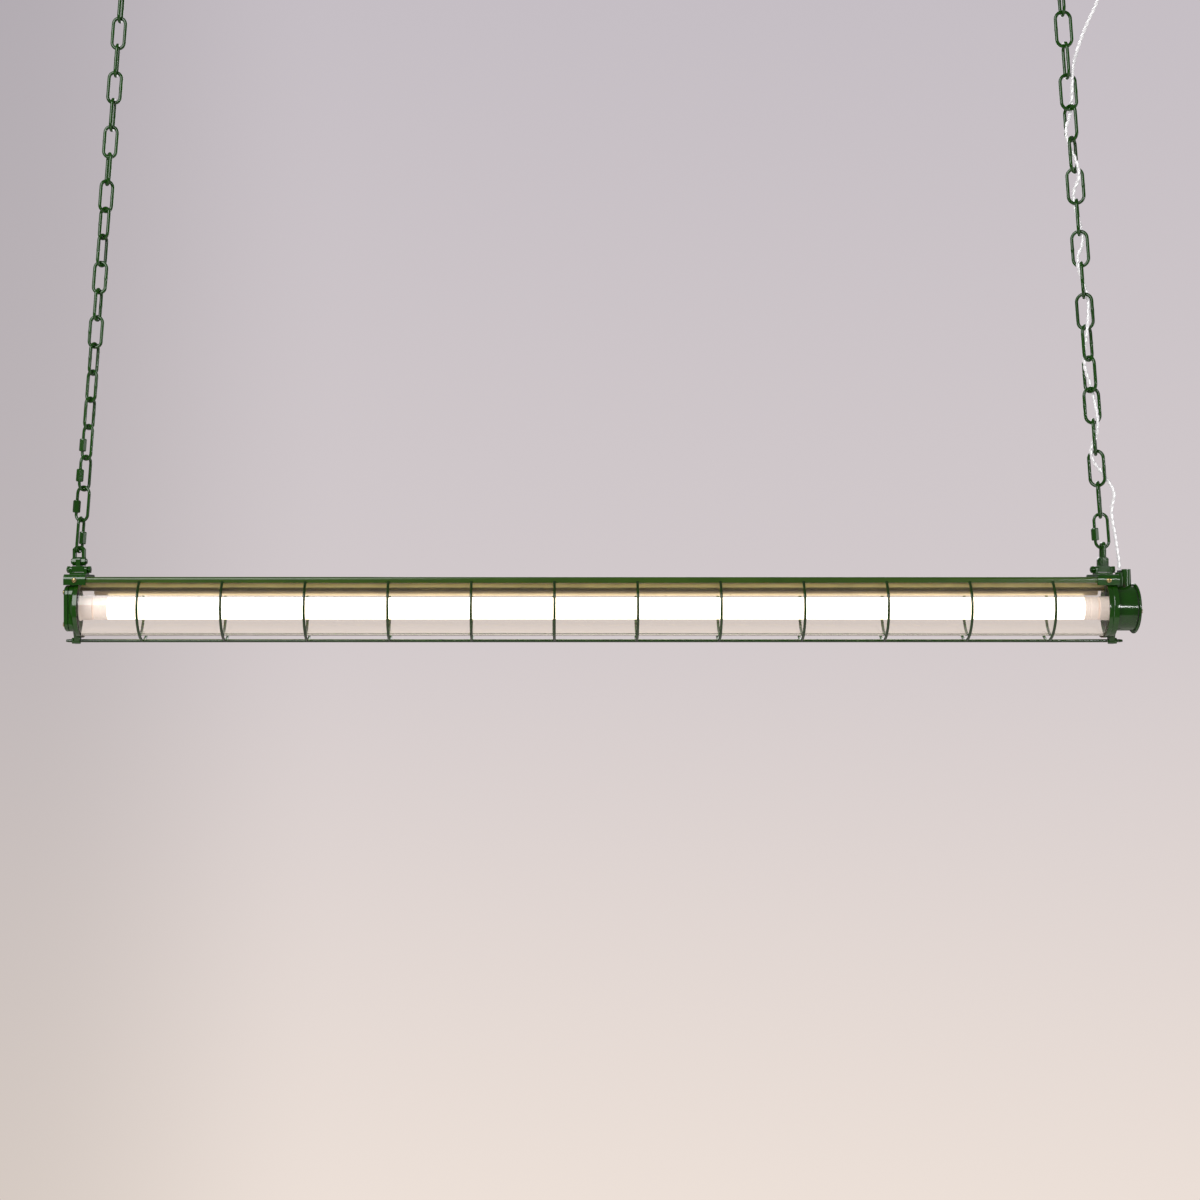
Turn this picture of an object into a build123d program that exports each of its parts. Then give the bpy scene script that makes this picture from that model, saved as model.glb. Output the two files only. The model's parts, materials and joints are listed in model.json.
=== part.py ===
"""Linear cage pendant light on two chains, in millimetres, +Z up.

A glass tube holding one straight lamp is clamped between two end castings, under a pressed
steel spine channel and inside a cage of wire hoops. It hangs from two ceiling hooks on two
chains that lean outwards, and the supply cable is woven through the right-hand chain.

Origin: on the ceiling, midway between the two screw hooks. X runs along the light, with the
terminal box at +X. Fixture pieces are drawn about the axis of the glass tube and then dropped
to their height. Repeated wire pieces, small holes and small fasteners have flat sides, as wide
across their flats as the real round ones.
"""
from build123d import *

import os
from math import atan2, cos, degrees, radians, sin, sqrt, tan

# Clearances
FIT_GAP = 0.1         # pieces that are fastened together
LINK_GAP = 0.1        # between links of a chain under load
RUN_GAP = 0.3         # pieces that swing or turn against each other
PIVOT_GAP = 0.4       # between a shackle and the chain's last link, whose flats turn past each other
SOFT_GAP = 0.35       # glass in its rubber seat
PIN_GAP = 0.4         # lamp pins in their slots
WIRE_SIDES = 8
SMALL_SIDES = 8       # small holes, shanks, pins and the tie rod
HEAD_SIDES = 12       # screw heads and the shackles' eyes
BOW_STEPS = 4         # straight steps in a link's half-round end

# Ceiling hooks
CHAIN_SPREAD = 51.0           # each chain's foot past its hook, along X
HOOK_WIRE = 5.0
HOOK_BOW_RADIUS = 11.0        # wire centreline
RIGHT_HOOK_DROP = 36.0        # ceiling to the wire's centre at the bottom of the bow
HOOK_THREAD_LENGTH = 30.0
HOOK_COLLAR_DIAMETER = 16.0
HOOK_COLLAR_THICKNESS = 2.5
HOOK_NECK = 5.0               # shank to the top of the bow
SHANK_OVERLAP = 3.0           # wire that runs up inside the shank's foot
HOOK_START = 50.0             # angle where the bow begins, on the shank's side
HOOK_SWEEP = 252.0
HOOK_STEPS = 9

# Chains
LEFT_LINK_WIRE = 4.0
LEFT_LINK_WIDTH = 18.4
LEFT_LINK_INNER_LENGTH = 32.75
RIGHT_LINK_WIRE = 4.0
RIGHT_LINK_WIDTH = 22.0
RIGHT_LINK_INNER_LENGTH = 37.85
QUICK_WIRE = 3.8
QUICK_WIDTH = 19.8
QUICK_INNER_LENGTH = 37.2
QUICK_GAP_LENGTH = 6.0        # opening in the leg, under the sleeve
SLEEVE_LENGTH = 15.0
SLEEVE_ACROSS_FLATS = 7.8
SLEEVE_DROP = 3.5             # sleeve's centre below the link's centre when shut

# Turn of each link about its chain, past the quarter turn that each adds, hook first
LEFT_TWIST = (0, 0, 5, 8, 0, 5, 26, 32, 54, 64, 86, 76, 88, 66, 55, 60)
LEFT_QUICK_TWIST = (52, 58, 70, 80)
RIGHT_TWIST = (0, 0, 0, 0, 28, 53, 73, 72, 66, 73, 62, 43, 28, 5, -18, -36, -20)
RIGHT_QUICK_TWIST = (0,)
LEFT_SLEEVE_SIDES = (-1, -1, -1, 1)
RIGHT_SLEEVE_SIDES = (-1,)

# Ceiling rose beside the right hook
ROSE_PAST_HOOK = 49.0
ROSE_DIAMETER = 62.0
ROSE_NECK_DIAMETER = 40.0
ROSE_HEIGHT = 26.0
ROSE_WALL = 2.0
ROSE_BASE_THICKNESS = 4.0
ROSE_SCREW_SPACING = 34.0
ROSE_SCREW_HOLE = 4.5
BUSH_DIAMETER = 12.0
BUSH_NECK_DIAMETER = 8.0
BUSH_FLANGE = 3.0
BUSH_CLIP = 2.0

# Glass tube and lamp
GLASS_DIAMETER = 66.0
GLASS_WALL = 2.8
GASKET_THICKNESS = 1.6
GASKET_BORE = 57.0
LAMP_DIAMETER = 26.0
LAMP_LENGTH = 1199.0          # between the outer faces of the caps
LAMP_WALL = 1.0
LAMP_CAP_LENGTH = 16.0
LAMP_CAP_DIAMETER = 26.6
LAMP_CAP_FLOOR = 2.0
PIN_DIAMETER = 2.4
PIN_SPACING = 12.7
PIN_LENGTH = 7.0
BOARD_WIDTH = 18.0
BOARD_THICKNESS = 1.6

# Spine channel
CHANNEL_PAST_LEFT_HANGER = 13.0
CHANNEL_PAST_RIGHT_HANGER = 13.5
CHANNEL_WIDTH = 46.0
CHANNEL_WALL = 1.6
CHANNEL_TOP = 37.4
CHANNEL_DEPTH = 6.9
CHANNEL_CORNER = 3.0

# Wire guard
HOOP_COUNT = 12
FIRST_HOOP_INSET = 72.1       # from the left casting's face
LAST_HOOP_INSET = 64.6        # from the right casting's face
HOOP_WIRE = 3.5
HOOP_RADIUS = 38.7
HOOP_STEPS = 10
ROD_DIAMETER = 3.8
ROD_DROP = 38.9
ROD_OVERHANG = 7.2            # rod past each nut
NUT_ACROSS_FLATS = 7.0
NUT_THICKNESS = 3.2

# End castings
LEFT_FACE_PAST_LAMP = 15.7    # from the lamp's end to the casting's face
RIGHT_FACE_PAST_LAMP = 7.7
CASTING_DIAMETER = 70.4
SEAT_DEPTH = 6.2
WEB_THICKNESS = 2.6
LEFT_CASTING_LENGTH = 11.0
LEFT_RIM_LENGTH = 4.9         # round part, before it draws in to the square neck
LEFT_NECK_WIDTH = 55.0
LEFT_NECK_CORNER = 12.0
LEFT_NECK_LENGTH = 5.5
RIGHT_FLANGE_LENGTH = 11.6
FLANGE_GROOVE = 1.6
PEDESTAL_DIAMETER = 26.0
LEFT_LUG_SETBACK = 3.2        # lug behind the casting's face
RIGHT_LUG_SETBACK = 8.0
LUG_THICKNESS = 6.4
LUG_RADIUS = 3.8
LUG_TOP_WIDTH = 22.0
LUG_ROOT_DROP = 25.0          # the lug starts inside the casting, this far below the axis
PAD_WIDTH = 41.6
PAD_TOP = 35.6
PAD_CORNER = 1.8
PAD_BOTTOM = 26.0
BOX_DIAMETER = 53.4
BOX_LENGTH = 24.4             # past the flange
BOX_BORE_DIAMETER = 41.0
BOX_COVER_DIAMETER = 60.4
BOX_COVER_THICKNESS = 2.8
LEFT_COVER_THICKNESS = 5.2
LEFT_COVER_BEVEL = 1.6
LEFT_BORE_DIAMETER = 38.0
COVER_GASKET_THICKNESS = 0.8
LEFT_GASKET_INSET = 2.0
LEFT_SCREW_CIRCLE = 54.0
LEFT_SCREW_TURN = 45.0
COVER_SCREW_COUNT = 4
COVER_SCREW_TURN = 8.0
SCREW_DIAMETER = 3.0
SCREW_HEAD_DIAMETER = 6.0
SCREW_HEAD_HEIGHT = 2.2
COVER_SCREW_LENGTH = 8.0
HOLDER_SCREW_HEAD = 5.0
SIDE_SCREW_HEIGHT = 33.2
SIDE_SCREW_END = 16.0

# Cable gland and the pillar beside it
GLAND_PAST_FLANGE = 9.4
GLAND_BOSS_DIAMETER = 11.2
GLAND_BOSS_TOP = 38.0
GLAND_BORE_DIAMETER = 7.2
GLAND_NUT_DIAMETER = 9.6
GLAND_NUT_HEIGHT = 5.2
GLAND_SPIGOT = 5.0
SEAL_DIAMETER = 5.2
SEAL_TOP = 45.4
SEAL_BOTTOM = 28.0
PILLAR_PAST_GLAND = 8.0
PILLAR_DIAMETER = 12.4
PILLAR_TOP_DIAMETER = 10.8
PILLAR_TOP = 47.0

# Hangers
LEFT_HANGER_PAST_FACE = 4.4   # behind the face of its casting
RIGHT_HANGER_PAST_FACE = 1.2
SADDLE_LENGTH = 26.0
SADDLE_THICKNESS = 3.0
SADDLE_SKIRT = 27.6           # its lower edges above the tube axis
BRACKET_LENGTH = 20.6
BRACKET_WIDTH = 14.0
BRACKET_BASE = 2.6
BRACKET_EAR = 3.0
BRACKET_TOP = 50.0
BLOCK_BOTTOM = 43.5
BLOCK_TOP = 50.6
TONGUE_THICKNESS = 5.4
TONGUE_WIDTH = 13.0
TONGUE_TOP = 61.4
HANGER_BOLT_DIAMETER = 5.0
HANGER_BOLT_HEIGHT = 46.4
HEX_ACROSS_FLATS = 8.0
HEX_THICKNESS = 3.6
BOLT_OVERHANG = 1.0           # bolt past its nut
STUD_DIAMETER = 5.0
STUD_HEAD_DIAMETER = 9.0
STUD_HEAD_HEIGHT = 2.0
STUD_END = 33.9
SHACKLE_WIRE = 4.8
SHACKLE_LEG_SPACING = 10.9
SHACKLE_CORNER = 2.4          # cut across each upper corner, along the wire's centreline
SHACKLE_EYE_DIAMETER = 10.0
SHACKLE_EYE_THICKNESS = 4.4
SHACKLE_PIN_DIAMETER = 4.0
SHACKLE_PIN_HEAD = 6.0
SHACKLE_PIN_HEAD_HEIGHT = 1.6
SHACKLE_PIN_HEIGHT = 56.2
PIVOT_HEIGHT = 72.5           # tilt axis above the tube axis

# Lampholders and wiring
HOLDER_DIAMETER = 28.0
HOLDER_LENGTH = 16.0
HOLDER_LIP_DIAMETER = 29.6
HOLDER_LIP_THICKNESS = 2.0
ROTOR_DIAMETER = 17.0
ROTOR_DEPTH = 9.0
ROTOR_SLOT = 3.2
HOLDER_SCREW_OFFSET = 9.0
LEFT_HOLDER_SCREW = 12.4
RIGHT_HOLDER_SCREW = 7.1
TERMINAL_WIDTH = 25.0
TERMINAL_HEIGHT = 11.5
TERMINAL_DEPTH = 9.0
TERMINAL_TOP = -3.5
TERMINAL_PITCH = 8.0
TERMINAL_SCREW_DEPTH = 3.0
TERMINAL_SCREW_INSET = 0.5
TERMINAL_GROOVE = 0.8         # between two poles
TERMINAL_GROOVE_DEPTH = 2.0
LEAD_DIAMETER = 2.2
LEAD_Y = 12.0
LEAD_Z = 34.4
LEAD_SLOT = 3.0
LEAD_STRAIGHT_END = 15.0      # the box leads leave the gland straight down to here
LEAD_POLE_HEIGHT = 6.0        # and come down straight onto their poles from here
WEB_HOLE = 5.0
WEB_HOLE_HEIGHT = 9.0

# Supply cable: from the gland up through the right chain and on to the rose
CABLE_DIAMETER = 4.5
CABLE_SIDES = 8               # its corners lie on the real round cable
CORNER_SHARE = 0.45           # of the shorter run, taken by each corner's arc
# (from the gland along X, Y, above the tube axis)
CABLE_AT_GLAND = (
    (0.0, 0.0, 45.4), (0.0, 0.0, 57.0), (-2.4, 0.2, 71.0), (-4.6, -0.6, 86.0), (-8.2, -1.5, 102.0),
    (-10.2, -1.1, 119.5), (-6.0, -6.9, 138.7),
)
# (links below the hook, across the chain, Y), round one side of a link and then of the next;
# the two lengths of cable meet in the middle of the run between the two lists
CABLE_WEAVE_LOWER = ((15.745, 9.2, 1.9), (15.025, -10.3, -1.0), (14.250, 6.3, -6.6))
CABLE_WEAVE_UPPER = (
    (12.895, 2.8, 6.3), (12.095, -7.3, 1.5), (10.890, 0.9, -7.9), (10.010, 8.2, 5.7), (8.865, -9.3, -4.6),
    (8.270, 8.5, 1.6), (6.755, -5.5, 6.9), (6.170, 7.5, -8.3), (4.830, -9.5, 0.3), (4.105, 4.2, 6.5),
    (2.855, 4.5, -7.1),
)
# (from the rose along X, Y, height)
CABLE_AT_ROSE = (
    (-26.9, 5.1, -112.0), (-16.0, 4.0, -82.0), (-5.0, 1.5, -59.0), (0.0, 0.0, -43.0), (0.0, 0.0, -29.0),
)

# Places along the light, from the lamp's two ends outwards
face_spacing = LAMP_LENGTH + LEFT_FACE_PAST_LAMP + RIGHT_FACE_PAST_LAMP
hanger_spacing = face_spacing + LEFT_HANGER_PAST_FACE + RIGHT_HANGER_PAST_FACE
hanger_x = hanger_spacing / 2
left_face_x = LEFT_HANGER_PAST_FACE - hanger_x
right_face_x = hanger_x - RIGHT_HANGER_PAST_FACE
left_lamp_end = left_face_x + LEFT_FACE_PAST_LAMP
right_lamp_end = right_face_x - RIGHT_FACE_PAST_LAMP
left_casting_end = left_face_x - LEFT_CASTING_LENGTH
left_seat_x = left_face_x - SEAT_DEPTH
right_seat_x = right_face_x + SEAT_DEPTH
flange_end = right_face_x + RIGHT_FLANGE_LENGTH
box_end_x = flange_end + BOX_LENGTH
gland_x = flange_end + GLAND_PAST_FLANGE
pillar_x = gland_x + PILLAR_PAST_GLAND
left_lug_x = left_face_x - LEFT_LUG_SETBACK
right_lug_x = right_face_x + RIGHT_LUG_SETBACK
channel_left_end = -hanger_x - CHANNEL_PAST_LEFT_HANGER
channel_right_end = hanger_x + CHANNEL_PAST_RIGHT_HANGER
first_hoop_x = left_face_x + FIRST_HOOP_INSET
hoop_pitch = (right_face_x - LAST_HOOP_INSET - first_hoop_x) / (HOOP_COUNT - 1)
left_holder_back = left_lamp_end - PIN_GAP - HOLDER_LENGTH
right_holder_back = right_lamp_end + PIN_GAP + HOLDER_LENGTH
right_web_end = right_holder_back + WEB_THICKNESS
left_web_end = left_seat_x - WEB_THICKNESS
hook_x = hanger_x - CHAIN_SPREAD
rose_x = hook_x + ROSE_PAST_HOOK

# Hanging geometry
left_pitch = LEFT_LINK_INNER_LENGTH - LINK_GAP
right_pitch = RIGHT_LINK_INNER_LENGTH - LINK_GAP
quick_pitch = QUICK_INNER_LENGTH - LINK_GAP
chain_start = -(HOOK_WIRE / 2 + RUN_GAP)

left_seat = chain_start + len(LEFT_TWIST) * left_pitch + len(LEFT_QUICK_TWIST) * quick_pitch + LINK_GAP
right_seat = chain_start + len(RIGHT_TWIST) * right_pitch + len(RIGHT_QUICK_TWIST) * quick_pitch + LINK_GAP
left_pivot_reach = left_seat - PIVOT_GAP - SHACKLE_WIRE / 2
right_pivot_reach = right_seat + QUICK_WIRE / 2
left_fall = sqrt(left_pivot_reach ** 2 - CHAIN_SPREAD ** 2)
right_fall = sqrt(right_pivot_reach ** 2 - CHAIN_SPREAD ** 2)

pivot_z = -RIGHT_HOOK_DROP - right_fall
left_hook_drop = -pivot_z - left_fall
axis_z = pivot_z - PIVOT_HEIGHT

glass_radius = GLASS_DIAMETER / 2
seat_radius = glass_radius + SOFT_GAP
casting_radius = CASTING_DIAMETER / 2
channel_lip = CHANNEL_TOP - CHANNEL_DEPTH
cover_screw_circle = (BOX_DIAMETER + BOX_BORE_DIAMETER) / 2
saddle_top = CHANNEL_TOP + FIT_GAP + SADDLE_THICKNESS
right_shackle_bar = PIVOT_HEIGHT + QUICK_WIRE / 2 + PIVOT_GAP + SHACKLE_WIRE / 2
rose_bush_bottom = -(ROSE_HEIGHT + BUSH_FLANGE)
casting_pad_side = PAD_WIDTH / 2


# Small helpers

def bar(start, end, diameter):
    """Round bar between two points."""
    start, end = Vector(*start), Vector(*end)
    seat = Plane(origin=start, z_dir=end - start)
    return seat * extrude(Circle(diameter / 2), (end - start).length)


def flat_bar(start, end, across_flats, sides=SMALL_SIDES):
    """Bar with flat sides between two points, as wide across its flats as a round one."""
    start, end = Vector(*start), Vector(*end)
    seat = Plane(origin=start, z_dir=end - start)
    section = RegularPolygon(across_flats / 2, sides, major_radius=False, rotation=180 / sides)
    return seat * extrude(section, (end - start).length)


def block(low, high):
    """Box between two corners."""
    size = [b - a for a, b in zip(low, high)]
    middle = [(a + b) / 2 for a, b in zip(low, high)]
    return Pos(*middle) * Box(*size)


def turned(outline):
    """Solid of revolution about X from (x, radius) points."""
    return revolve(make_face(Polyline(*outline, close=True)), Axis.X, 360)


def turned_upright(x, outline):
    """Solid of revolution about an upright axis at x, from (radius, z) points."""
    face = make_face(Polyline(*[(r, 0, z) for r, z in outline], close=True))
    return Pos(x, 0, 0) * revolve(face, Axis.Z, 360)


def bow_points(radius, centre_z, first, last, steps):
    """Corners of a stepped arc in XZ whose straight steps touch the real arc."""
    step = radians(last - first) / steps
    reach = radius / cos(step / 2)
    angles = [radians(first) + step * (n + 0.5) for n in range(steps)]
    return [(reach * cos(a), 0, centre_z + reach * sin(a)) for a in angles]


def bent_wire(points, wire, across, closed=False):
    """Eight-sided wire along straight steps; `across` sets the section's first flat."""
    path = Polyline(*points, close=closed)
    flats = RegularPolygon(wire / 2, WIRE_SIDES, major_radius=False, rotation=180 / WIRE_SIDES)
    section = Plane(origin=points[0], x_dir=across, z_dir=path % 0) * flats
    return sweep(section, path=path, transition=Transition.RIGHT)


def drop(shape):
    """From the tube axis to the fixture's real height."""
    return Pos(0, 0, axis_z) * shape


def group(shapes):
    """Separate solids that share one node."""
    return Compound(children=[solid for shape in shapes for solid in shape.solids()])


# Ceiling

def make_hook(side, drop_height):
    """Screw hook with a welded collar, its open bow in the XZ plane."""
    centre_z = HOOK_BOW_RADIUS - drop_height
    neck_z = centre_z + HOOK_BOW_RADIUS + HOOK_NECK
    bow = bow_points(HOOK_BOW_RADIUS, centre_z, HOOK_START, HOOK_START - HOOK_SWEEP, HOOK_STEPS)
    wire = bent_wire([(0, 0, neck_z + SHANK_OVERLAP), (0, 0, neck_z), *bow], HOOK_WIRE, (0, 1, 0))
    shank = bar((0, 0, neck_z), (0, 0, HOOK_THREAD_LENGTH), HOOK_WIRE)
    collar = bar((0, 0, -HOOK_COLLAR_THICKNESS), (0, 0, 0), HOOK_COLLAR_DIAMETER)
    return Pos(side * hook_x, 0, 0) * (shank + wire + collar)


def make_rose():
    """Ceiling rose: base plate, pressed cover and the cable's bush."""
    radius = ROSE_DIAMETER / 2
    neck = ROSE_NECK_DIAMETER / 2
    base = bar((rose_x, 0, -ROSE_BASE_THICKNESS), (rose_x, 0, 0), ROSE_DIAMETER - 2 * (ROSE_WALL + FIT_GAP))
    for y in (-ROSE_SCREW_SPACING / 2, ROSE_SCREW_SPACING / 2):
        base -= flat_bar((rose_x, y, -ROSE_BASE_THICKNESS), (rose_x, y, 0), ROSE_SCREW_HOLE)
    base -= bar((rose_x, 0, -ROSE_BASE_THICKNESS), (rose_x, 0, 0), BUSH_DIAMETER)
    outline = (
        (BUSH_NECK_DIAMETER / 2 + FIT_GAP, -ROSE_HEIGHT), (neck, -ROSE_HEIGHT),
        (radius, -ROSE_HEIGHT / 2), (radius, 0), (radius - ROSE_WALL, 0),
        (radius - ROSE_WALL, -ROSE_HEIGHT / 2), (neck - ROSE_WALL, ROSE_WALL - ROSE_HEIGHT),
        (BUSH_NECK_DIAMETER / 2 + FIT_GAP, ROSE_WALL - ROSE_HEIGHT),
    )
    cover = turned_upright(rose_x, outline)
    flange = BUSH_DIAMETER / 2
    neck = BUSH_NECK_DIAMETER / 2
    top = ROSE_WALL - ROSE_HEIGHT
    bush = turned_upright(rose_x, (
        (0, rose_bush_bottom), (flange, rose_bush_bottom), (flange, -ROSE_HEIGHT), (neck, -ROSE_HEIGHT),
        (neck, top), (flange, top), (flange, top + BUSH_CLIP), (0, top + BUSH_CLIP),
    ))
    return {"rose_base": base, "rose_cover": cover, "rose_bush": bush}


# Chains

def oval_link(inner_length, outer_width, wire):
    """Link with its long way along Z, in the XZ plane."""
    radius = (outer_width - wire) / 2
    half = (inner_length + wire) / 2 - radius
    top = bow_points(radius, half, 0, 180, BOW_STEPS)
    bottom = bow_points(radius, -half, 180, 360, BOW_STEPS)
    return bent_wire([(radius, 0, 0), *top, *bottom], wire, (1, 0, 0), closed=True)


def quick_link_body(leg):
    """Oval link with an opening in one leg, low down, where the sleeve shuts it."""
    link = oval_link(QUICK_INNER_LENGTH, QUICK_WIDTH, QUICK_WIRE)
    leg_x = leg * (QUICK_WIDTH - QUICK_WIRE) / 2
    low = -SLEEVE_DROP - QUICK_GAP_LENGTH / 2
    high = low + QUICK_GAP_LENGTH
    return link - block((leg_x - QUICK_WIRE, -QUICK_WIRE, low), (leg_x + QUICK_WIRE, QUICK_WIRE, high))


def quick_link_sleeve(leg):
    """Hexagonal sleeve nut on the leg of a quick link."""
    half = SLEEVE_LENGTH / 2
    nut = extrude(RegularPolygon(SLEEVE_ACROSS_FLATS / 2, 6, major_radius=False), half, both=True)
    bore = RegularPolygon(QUICK_WIRE / 2 + FIT_GAP, WIRE_SIDES, major_radius=False, rotation=180 / WIRE_SIDES)
    nut -= extrude(bore, half, both=True)
    return Pos(leg * (QUICK_WIDTH - QUICK_WIRE) / 2, 0, -SLEEVE_DROP) * nut


def chain_frame(side, reach, turn):
    """Place on a chain, `reach` down from its hook and turned by `turn` degrees."""
    fall = left_fall if side < 0 else right_fall
    total = left_pivot_reach if side < 0 else right_pivot_reach
    hook_drop = left_hook_drop if side < 0 else RIGHT_HOOK_DROP
    lean = side * CHAIN_SPREAD / total
    up = Vector(-lean, 0, fall / total)
    across = Vector(fall / total, 0, lean)
    start = Vector(side * hook_x, 0, -hook_drop)
    return Plane(origin=start - up * reach, x_dir=across, z_dir=up).location * Rot(0, 0, turn)


def chain_places(side):
    """Places of the plain links and of the quick links of one chain, hook first."""
    twists = LEFT_TWIST if side < 0 else RIGHT_TWIST
    quick_twists = LEFT_QUICK_TWIST if side < 0 else RIGHT_QUICK_TWIST
    inner = LEFT_LINK_INNER_LENGTH if side < 0 else RIGHT_LINK_INNER_LENGTH
    reach = chain_start
    links, quicks = [], []
    for count, twist in enumerate(twists, start=1):
        links.append(chain_frame(side, reach + inner / 2, 90 * count + twist))
        reach += inner - LINK_GAP
    for count, twist in enumerate(quick_twists, start=len(twists) + 1):
        quicks.append(chain_frame(side, reach + QUICK_INNER_LENGTH / 2, 90 * count + twist))
        reach += QUICK_INNER_LENGTH - LINK_GAP
    return links, quicks


def leg_towards(place, side):
    """Which leg of a turned quick link lies towards `side` along X."""
    across = (place * Pos(1, 0, 0)).position - place.position
    return side if across.X > 0 else -side


def make_chains():
    """Both chains' links, quick links and sleeves."""
    parts = {}
    for side, name in ((-1, "left"), (1, "right")):
        links, quicks = chain_places(side)
        inner = LEFT_LINK_INNER_LENGTH if side < 0 else RIGHT_LINK_INNER_LENGTH
        width = LEFT_LINK_WIDTH if side < 0 else RIGHT_LINK_WIDTH
        link = oval_link(inner, width, LEFT_LINK_WIRE if side < 0 else RIGHT_LINK_WIRE)
        parts[f"{name}_chain_links"] = group([place * link for place in links])
        sides = LEFT_SLEEVE_SIDES if side < 0 else RIGHT_SLEEVE_SIDES
        bodies = []
        for number, (place, sleeve_side) in enumerate(zip(quicks, sides), start=1):
            leg = leg_towards(place, sleeve_side)
            bodies.append(place * quick_link_body(leg))
            parts[f"{name}_sleeve_{number}"] = place * quick_link_sleeve(leg)
        parts[f"{name}_quick_links"] = group(bodies)
    return parts


# Supply cable

def beside_chain(links, across, y):
    """Point beside the right chain, `links` link lengths below its hook."""
    place = chain_frame(1, chain_start + links * right_pitch, 0)
    return (place * Pos(across, y, 0)).position


def cable_routes():
    """Points that the two lengths' straight runs join, from the gland up and from there to the rose."""
    lower = [Vector(gland_x + x, y, axis_z + z) for x, y, z in CABLE_AT_GLAND]
    lower += [beside_chain(*place) for place in CABLE_WEAVE_LOWER]
    upper = [beside_chain(*place) for place in CABLE_WEAVE_UPPER]
    upper += [Vector(rose_x + x, y, z) for x, y, z in CABLE_AT_ROSE]
    return lower, upper


def corner_radii(route):
    """Radius of the arc at each corner of a route, from its turn and its shorter run."""
    radii = []
    for before, corner, after in zip(route, route[1:], route[2:]):
        arriving, leaving = corner - before, after - corner
        turn = radians(arriving.get_angle(leaving))
        shorter = min(arriving.length, leaving.length)
        radii.append(CORNER_SHARE * shorter / tan(turn / 2))
    return radii


def make_cable():
    """Supply cable in two lengths, which meet face to face inside the chain."""
    lower, upper = cable_routes()
    radii = corner_radii(lower + upper)
    lower_corners = len(lower) - 1
    meeting = (lower[-1] + upper[0]) / 2
    lengths = {
        "cord_lower": ([*lower, meeting], radii[:lower_corners]),
        "cord_upper": ([meeting, *upper], radii[lower_corners:]),
    }
    section = RegularPolygon(CABLE_DIAMETER / 2, CABLE_SIDES)
    tubes = {}
    for node, (points, bends) in lengths.items():
        path = FilletPolyline(*points, radius=bends)
        tube = sweep(Plane(origin=path @ 0, z_dir=path % 0) * section, path=path)
        print(node, "length", round(path.length, 1), "radii", [round(bend, 1) for bend in bends])
        fullness = tube.volume / (section.area * path.length)
        print(node, "volume against section times length", round(fullness, 4))
        print(node, "points", [tuple(round(value, 2) for value in point) for point in points])
        tubes[node] = tube
    return tubes


# Spine, glass and guard

def make_channel():
    """Pressed channel, open downwards, with holes for the hangers' studs."""
    half = CHANNEL_WIDTH / 2
    middle = (CHANNEL_TOP + channel_lip) / 2
    outer = Pos(0, middle) * RectangleRounded(CHANNEL_WIDTH, CHANNEL_DEPTH, CHANNEL_CORNER)
    inner_corner = CHANNEL_CORNER - CHANNEL_WALL
    inner = Pos(0, middle - CHANNEL_WALL) * RectangleRounded(
        CHANNEL_WIDTH - 2 * CHANNEL_WALL, CHANNEL_DEPTH, inner_corner)
    skirt_height = CHANNEL_DEPTH / 2
    skirts = Pos(0, channel_lip + skirt_height / 2) * Rectangle(2 * half, skirt_height)
    mouth = Pos(0, channel_lip) * Rectangle(CHANNEL_WIDTH - 2 * CHANNEL_WALL, CHANNEL_DEPTH)
    section = outer + skirts - inner - mouth
    start = Plane(origin=(channel_left_end, 0, 0), x_dir=(0, 1, 0), z_dir=(1, 0, 0))
    channel = start * extrude(section, channel_right_end - channel_left_end)
    for x in (-hanger_x, hanger_x):
        channel -= flat_bar((x, 0, channel_lip), (x, 0, CHANNEL_TOP), STUD_DIAMETER + 2 * FIT_GAP)
        channel -= flat_bar((x, -half, SIDE_SCREW_HEIGHT), (x, half, SIDE_SCREW_HEIGHT),
                            SCREW_DIAMETER + 2 * FIT_GAP)
    return channel


def make_glass():
    """Clear tube, and the two flat gaskets that its ends press on."""
    left_end = left_seat_x + GASKET_THICKNESS
    right_end = right_seat_x - GASKET_THICKNESS
    bore = glass_radius - GLASS_WALL
    tube = turned(((left_end, bore), (left_end, glass_radius), (right_end, glass_radius), (right_end, bore)))
    inner, outer = GASKET_BORE / 2, seat_radius - FIT_GAP
    gaskets = [
        turned(((x, inner), (x, outer), (x + GASKET_THICKNESS, outer), (x + GASKET_THICKNESS, inner)))
        for x in (left_seat_x, right_end)
    ]
    return {"glass_tube": tube, "glass_gaskets": group(gaskets)}


def hoop():
    """Open wire hoop in the YZ plane that butts the lower corners of the channel's lips."""
    start = degrees(atan2(CHANNEL_WIDTH / 2, channel_lip)) + degrees(FIT_GAP / HOOP_RADIUS)
    step = radians(360 - 2 * start) / HOOP_STEPS
    reach = HOOP_RADIUS / cos(step / 2)
    angles = [radians(start)]
    angles += [radians(start) + step * (n + 0.5) for n in range(HOOP_STEPS)]
    angles.append(radians(360 - start))
    sizes = [HOOP_RADIUS] + [reach] * HOOP_STEPS + [HOOP_RADIUS]
    points = [(0, size * sin(a), size * cos(a)) for size, a in zip(sizes, angles)]
    return bent_wire(points, HOOP_WIRE, (1, 0, 0))


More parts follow.
